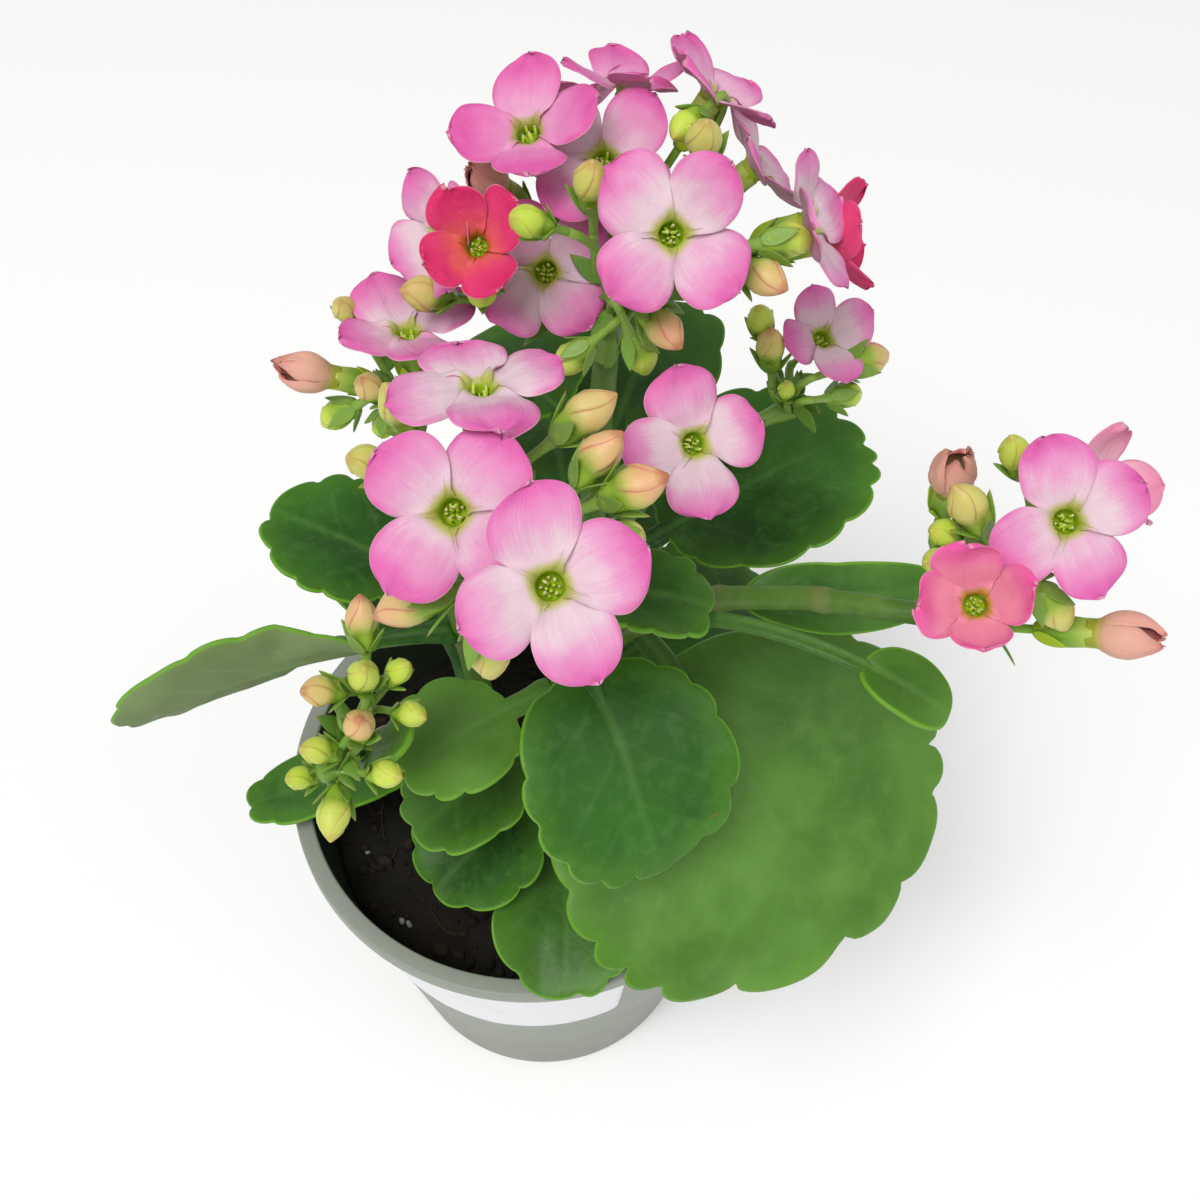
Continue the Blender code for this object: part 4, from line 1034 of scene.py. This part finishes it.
def petal(form, axes, throat, size, openness, rng, turn, **values):
    """One petal as rings across it, from its claw inside the tube to its rounded tip."""
    blade = 1 - (1 - np.linspace(0, 1, PETAL_ROWS)[CLAW_ROWS:]) ** 1.6
    blade = (blade - blade[0]) / (blade[-1] - blade[0])
    claw = np.linspace(-CLAW_LENGTH / PETAL_LENGTH, 0, CLAW_ROWS + 1)[:-1]
    x = np.concatenate([claw, blade])[:, None]
    reached = np.clip(x, 0, 1)
    t = np.linspace(-1, 1, PETAL_COLUMNS)
    t = np.sign(t) * np.abs(t) ** 0.85
    side = np.concatenate([t, t[::-1]])
    face = np.concatenate([np.ones_like(t), -np.ones_like(t)])
    first = math.radians(np.interp(openness, OPENNESS, FOOT_SLOPE) + rng.normal(0, 5 * openness))
    last = math.radians(np.interp(openness, OPENNESS, TIP_SLOPE) + rng.normal(0, 14 * openness))

    nick = 1 + 0.016 * np.exp(-((side / 0.2) ** 2)) * reached**8 - 0.03 * side**2 * x
    nick = nick + 0.014 * np.sin(side * 9 + rng.uniform(0, 6)) * reached**2
    grown = PETAL_LENGTH * rng.uniform(0.94, 1.10)
    gone = np.linspace(-CLAW_LENGTH, PETAL_OVERLONG * PETAL_LENGTH, 160)
    slope = first + (last - first) * np.clip(gone / PETAL_LENGTH, 0, PETAL_OVERLONG)
    slope = slope * np.clip(1 + gone / 0.7, 0, 1) + math.radians(6) * np.clip(-gone / 0.7, 0, 1)
    step = gone[1] - gone[0]
    line_radius = np.cumsum(np.sin(slope)) * step
    line_height = np.cumsum(np.cos(slope)) * step
    line_radius += MOUTH_RADIUS - np.interp(0, gone, line_radius)
    line_height -= np.interp(0, gone, line_height)
    length = grown * nick * x + 0 * side
    radial = np.interp(length, gone, line_radius)
    height = np.interp(length, gone, line_height)
    slope = np.interp(length, gone, slope)

    flare = np.clip(x / 0.26, 0, 1)
    flare = flare**2 * (3 - 2 * flare)
    closed = np.maximum(np.clip((0.95 - openness) / 0.65, 0, 1), 1 - flare)
    widest = PETAL_HALF_WIDTH * rng.uniform(0.88, 1.06)
    middle_radius = np.interp(grown * x, gone, line_radius)
    half = ((1.2 * np.maximum(middle_radius, 1.2)) ** -6 + widest**-6) ** (-1 / 6)
    blunt = np.sqrt(np.clip(1 - np.clip((x - 0.45) / 0.55, 0, 1) ** rng.uniform(1.9, 2.9), 0, 1))
    half = half * np.maximum(blunt, 0.03) * (1 + 0.1 * rng.uniform(-1, 1) * side * np.clip(x * 2, 0, 1))
    bow = radial * (1 + 2.2 * (1 - closed) ** 2) + 5 * (1 - closed)
    angle = half * side / bow
    tangent = bow * np.sin(angle) + rng.normal(0, 0.55) * reached**2
    inward = bow * (1 - np.cos(angle)) * (closed - (1 - closed) * rng.uniform(0.2, 1.3))
    lap = side * (0.3 + 0.12 * closed) * np.clip(0.25 + x * 4, 0, 1)
    flat = np.stack([half * side, length, 0 * length + rng.uniform(0, 40)], -1)
    wave = 0.42 * ripple(flat, 8, int(rng.integers(1000)))
    wave = wave + 0.07 * ripple(flat, 2.2, int(rng.integers(1000)))
    wave = wave * np.clip(x * 1.6, 0, 1)
    frill = 0.26 * np.sin(side * 6 + rng.uniform(0, 6)) * reached**3
    curl = rng.uniform(-1.7, 1.2) * np.clip(side * rng.choice((-1, 1)), 0, 1) ** 3 * reached
    crease = -0.24 * np.exp(-((side / 0.14) ** 2)) * np.clip(x * 3, 0, 1) * (1 - x)
    ribs = 0.03 * np.cos(side * 26) * (1 - side**2) * np.clip(x * 4, 0, 1)
    edge = np.sqrt(1 - np.abs(side) ** 10) * np.minimum(1, (1.02 - x) * 9)
    up = inward + lap + wave + frill + curl + crease + ribs + face * (PETAL_THICKNESS / 2 * edge + 0.02)
    radial = radial - up * np.cos(slope)
    height = height + up * np.sin(slope)
    turn = turn + rng.normal(0, 3.5)
    out, across = away_from(axes, turn), away_from(axes, turn + 90)
    rings = radial[..., None] * out + tangent[..., None] * across + height[..., None] * axes[2]
    form.loft(throat + size * rings, reach=x, side=side, under=face < 0, **values)


def flower_form(seed, cyme, x, y, z, azimuth, elevation, roll, openness, size, colour):
    """One flower: its stalk, tube, sepals, four petals, eight stamens and four styles."""
    rng = np.random.default_rng(seed)
    axes, throat = flower_axes(azimuth, elevation, roll), np.array([x, y, z])
    made = Form(*FLOWER_PAINTS)
    line = np.linspace(-TUBE_LENGTH - PEDICEL_LENGTH, -TUBE_LENGTH, 9)[:, None]
    made.loft(tube(throat + line * axes[2] * size, PEDICEL_RADIUS * size, 14), green=0.75)
    neck = np.array(TUBE_PROFILE)
    p = circle(32)[:, None]
    around = (1 + 0.07 * np.cos(4 * p)) * (np.cos(p) * axes[0] + np.sin(p) * axes[1])
    rings = throat + size * (neck[:, :1, None] * around + neck[:, 1:2, None] * axes[2])
    made.loft(rings, green=neck[:, 2:])
    foot = throat - axes[2] * (TUBE_LENGTH + SEPAL_FOOT) * size
    sepals(made, axes, foot, size * 1.15, 0.34, green=1.0, reach=LEAFLET_WAY)
    mood = rng.normal(0, 0.7)
    for k in range(4):
        petal(made, axes, throat, size, openness, rng, 90 * k, drift=mood + rng.uniform(-1, 1))
    for k in range(8):
        out = away_from(axes, 22.5 + 45 * k + rng.normal(0, 9))
        high = (0.0 if k % 2 else -1.9) + rng.normal(0, 0.3)
        line = np.array([out * 1.2, out * 1.15, out * rng.uniform(0.5, 1.35)])
        line += np.array([[-2.8], [-1.9], [high]]) * axes[2]
        made.loft(tube(throat + size * line, 0.19 * size, 8), green=0.35, pollen=0.3)
        along = np.linspace(-1, 1, 7)
        grain = line[-1] + 0.24 * along[:, None] * (axes[2] * 0.6 - out * 0.75)
        made.loft(tube(throat + size * grain, 0.17 * np.sqrt(1.02 - along**2) * size, 10), pollen=1.0)
    for k in range(4):
        out = away_from(axes, 90 * k + rng.normal(0, 8))
        line = np.array([out * 0.5, out * 0.45, out * 0.6])
        line += np.array([[-2.9], [-2.0], [-rng.uniform(0.6, 1.2)]]) * axes[2]
        made.loft(tube(throat + size * line, np.array([0.34, 0.26, 0.08]) * size, 8), green=0.4, pollen=0.3)
    return made


def petal_finish(name, heart, middle, edge, back, mouth, throat):
    """Petal tissue that fades from its heart to its edge and is yellow-green round the mouth."""
    material, w = new_finish(
        name, Specular_IOR_Level=0.3, Subsurface_Weight=0.08, Subsurface_Radius=(0.003, 0.0015, 0.002)
    )
    reach, side, under, green, pollen, drift = map(w.painted, FLOWER_PAINTS)
    cloud, fine = w.noise(4.5, 3, 0.55), w.noise(0.5, 4, 0.65)
    flat = w.node("ShaderNodeCombineXYZ", None, {0: side * 16, 1: reach * 1.6, 2: drift * 40})
    veins = w.noise(1 / MM, 4.0, 0.6, at=flat)
    out = w.maths("ABSOLUTE", side)
    rim = w.maths("MAXIMUM", reach**1.9, out**3.5 * 0.8 * reach.step(0.1, 0.6))
    depth = rim + (cloud - 0.5) * 0.5 + (veins - 0.5) * 0.3 + drift * 0.12
    tissue = depth.step(-0.06, 0.36).mix(heart, middle)
    tissue = depth.step(0.2, 0.86).mix(tissue, edge)
    tissue = (veins.step(0.58, 0.76) * 0.2).mix(tissue, middle)
    tissue = (fine.step(0.55, 0.75) * 0.1).mix(tissue, (0.76, 0.62, 0.7))
    hem = w.maths("MAXIMUM", out.step(0.955, 1.0), reach.step(0.985, 1.0))
    tissue = (hem * 0.5).mix(tissue, (0.72, 0.52, 0.5))
    tissue = (under * 0.75).mix(tissue, veins.mix(back, middle))
    glow = (reach + (veins - 0.5) * 0.1 + (cloud - 0.5) * 0.06).step(0.09, -0.03)
    tissue = (glow * 0.9).mix(tissue, mouth)
    tissue = reach.step(-0.02, -0.1).mix(tissue, throat)
    leaf_green = cloud.mix((0.13, 0.28, 0.02), (0.25, 0.42, 0.045))
    stalk = green.step(0.15, 0.5).mix((0.42, 0.5, 0.1), leaf_green)
    stalk = green.step(0.92, 1.0).mix(stalk, (0.34, 0.48, 0.012))
    is_green = green.step(0.02, 0.1)
    tissue = is_green.mix(tissue, stalk)
    tissue = pollen.step(0.2, 0.3).mix(tissue, (0.52, 0.66, 0.06))
    tissue = pollen.step(0.7, 0.9).mix(tissue, fine.mix((0.8, 0.76, 0.55), (0.44, 0.28, 0.12)))
    speck = w.noise(1.0, 1, 0.3).step(0.785, 0.8) * (1 - is_green)
    tissue = (speck * 0.2).mix(tissue, (0.35, 0.09, 0.16))
    feed(material, veins + fine * 0.5, depth=0.1, Base_Color=tissue, Roughness=0.5 + fine * 0.16)
    return material


# name: (heart, middle, edge, back, mouth, throat)
PETAL_COLOURS = {
    "pink": (
        (0.69, 0.52, 0.58), (0.69, 0.285, 0.49), (0.67, 0.12, 0.385),
        (0.68, 0.22, 0.46), (0.42, 0.44, 0.06), (0.34, 0.48, 0.01),
    ),
    "rose": (
        (0.71, 0.4, 0.54), (0.7, 0.23, 0.47), (0.66, 0.1, 0.35),
        (0.66, 0.15, 0.38), (0.38, 0.36, 0.06), (0.26, 0.34, 0.012),
    ),
    "pale": (
        (0.72, 0.54, 0.55), (0.73, 0.4, 0.49), (0.71, 0.24, 0.38),
        (0.71, 0.33, 0.37), (0.44, 0.36, 0.1), (0.28, 0.32, 0.02),
    ),
    "crimson": (
        (0.7, 0.11, 0.1), (0.68, 0.042, 0.155), (0.64, 0.02, 0.13),
        (0.66, 0.07, 0.2), (0.46, 0.12, 0.012), (0.42, 0.16, 0.01),
    ),
    "hot": (
        (0.74, 0.24, 0.34), (0.74, 0.15, 0.33), (0.77, 0.075, 0.33),
        (0.72, 0.14, 0.32), (0.5, 0.3, 0.02), (0.4, 0.34, 0.01),
    ),
    "salmon": (
        (0.66, 0.46, 0.22), (0.7, 0.36, 0.28), (0.64, 0.16, 0.15),
        (0.72, 0.4, 0.31), (0.5, 0.4, 0.12), (0.3, 0.34, 0.02),
    ),
}
petal_skins = {name: petal_finish(f"petals_{name}", *colours) for name, colours in PETAL_COLOURS.items()}
for seed, (name, sizes) in enumerate(FLOWERS.items()):
    flower_form(seed + 1, *sizes).piece(f"{name}_bloom", petal_skins[sizes[-1]], "petal", name)


# ------------------------------------------------------------------------------------------------
# Setting.  A plain pale floor, a broad soft light from the upper left, a weak one from the right,
# and a camera that looks down on the plant from the front.

FLOOR_SIZE = 30.0
CAMERA_ELEVATION = 54.0
CAMERA_DISTANCE = 0.348
CAMERA_AIM = (0.015, 0.046, 0.096)
CAMERA_LENS = 42.0
PLANT_MIDDLE = np.array([0.02, 0, 0.15])

floor_mesh = bpy.data.meshes.new("floor")
half = FLOOR_SIZE / 2
floor_corners = [(-half, -half, 0), (half, -half, 0), (half, half, 0), (-half, half, 0)]
floor_mesh.from_pydata(floor_corners, [], [(0, 1, 2, 3)])
studio_floor = add_object("studio_floor", floor_mesh)
floor_paint, w = new_finish("floor_paint", Base_Color=(0.96, 0.96, 0.96, 1.0), Roughness=0.9)
floor_mesh.materials.append(floor_paint)


def soft_light(name, azimuth, elevation, distance, size, watts, colour):
    """A square area light that shines on the middle of the plant."""
    lamp = bpy.data.lights.new(name, "AREA")
    lamp.size = size
    lamp.energy = watts
    lamp.color = colour
    made = add_object(name, lamp)
    made.location = PLANT_MIDDLE + facing(azimuth, elevation) * distance
    made.rotation_euler = (math.radians(90 - elevation), 0, math.radians(azimuth))


soft_light("key_light", -28, 62, 2.6, 1.2, 50.0, (1.0, 0.995, 0.98))
soft_light("fill_light", 65, 45, 2.6, 1.8, 8.0, (0.97, 0.98, 1.0))
world = bpy.data.worlds.new("studio_air")
world.use_nodes = True
air = world.node_tree.nodes["Background"].inputs
air["Color"].default_value = (1.0, 1.0, 1.0, 1.0)
air["Strength"].default_value = 0.46
bpy.context.scene.world = world
bpy.context.scene.view_settings.view_transform = "Standard"

lens = bpy.data.cameras.new("camera")
lens.lens = CAMERA_LENS
lens.sensor_width = 36.0
lens.clip_start = 0.01
camera = add_object("camera", lens)
camera.location = np.array(CAMERA_AIM) + facing(0.0, CAMERA_ELEVATION) * CAMERA_DISTANCE
camera.rotation_euler = (math.radians(90 - CAMERA_ELEVATION), 0, 0)
bpy.context.scene.camera = camera
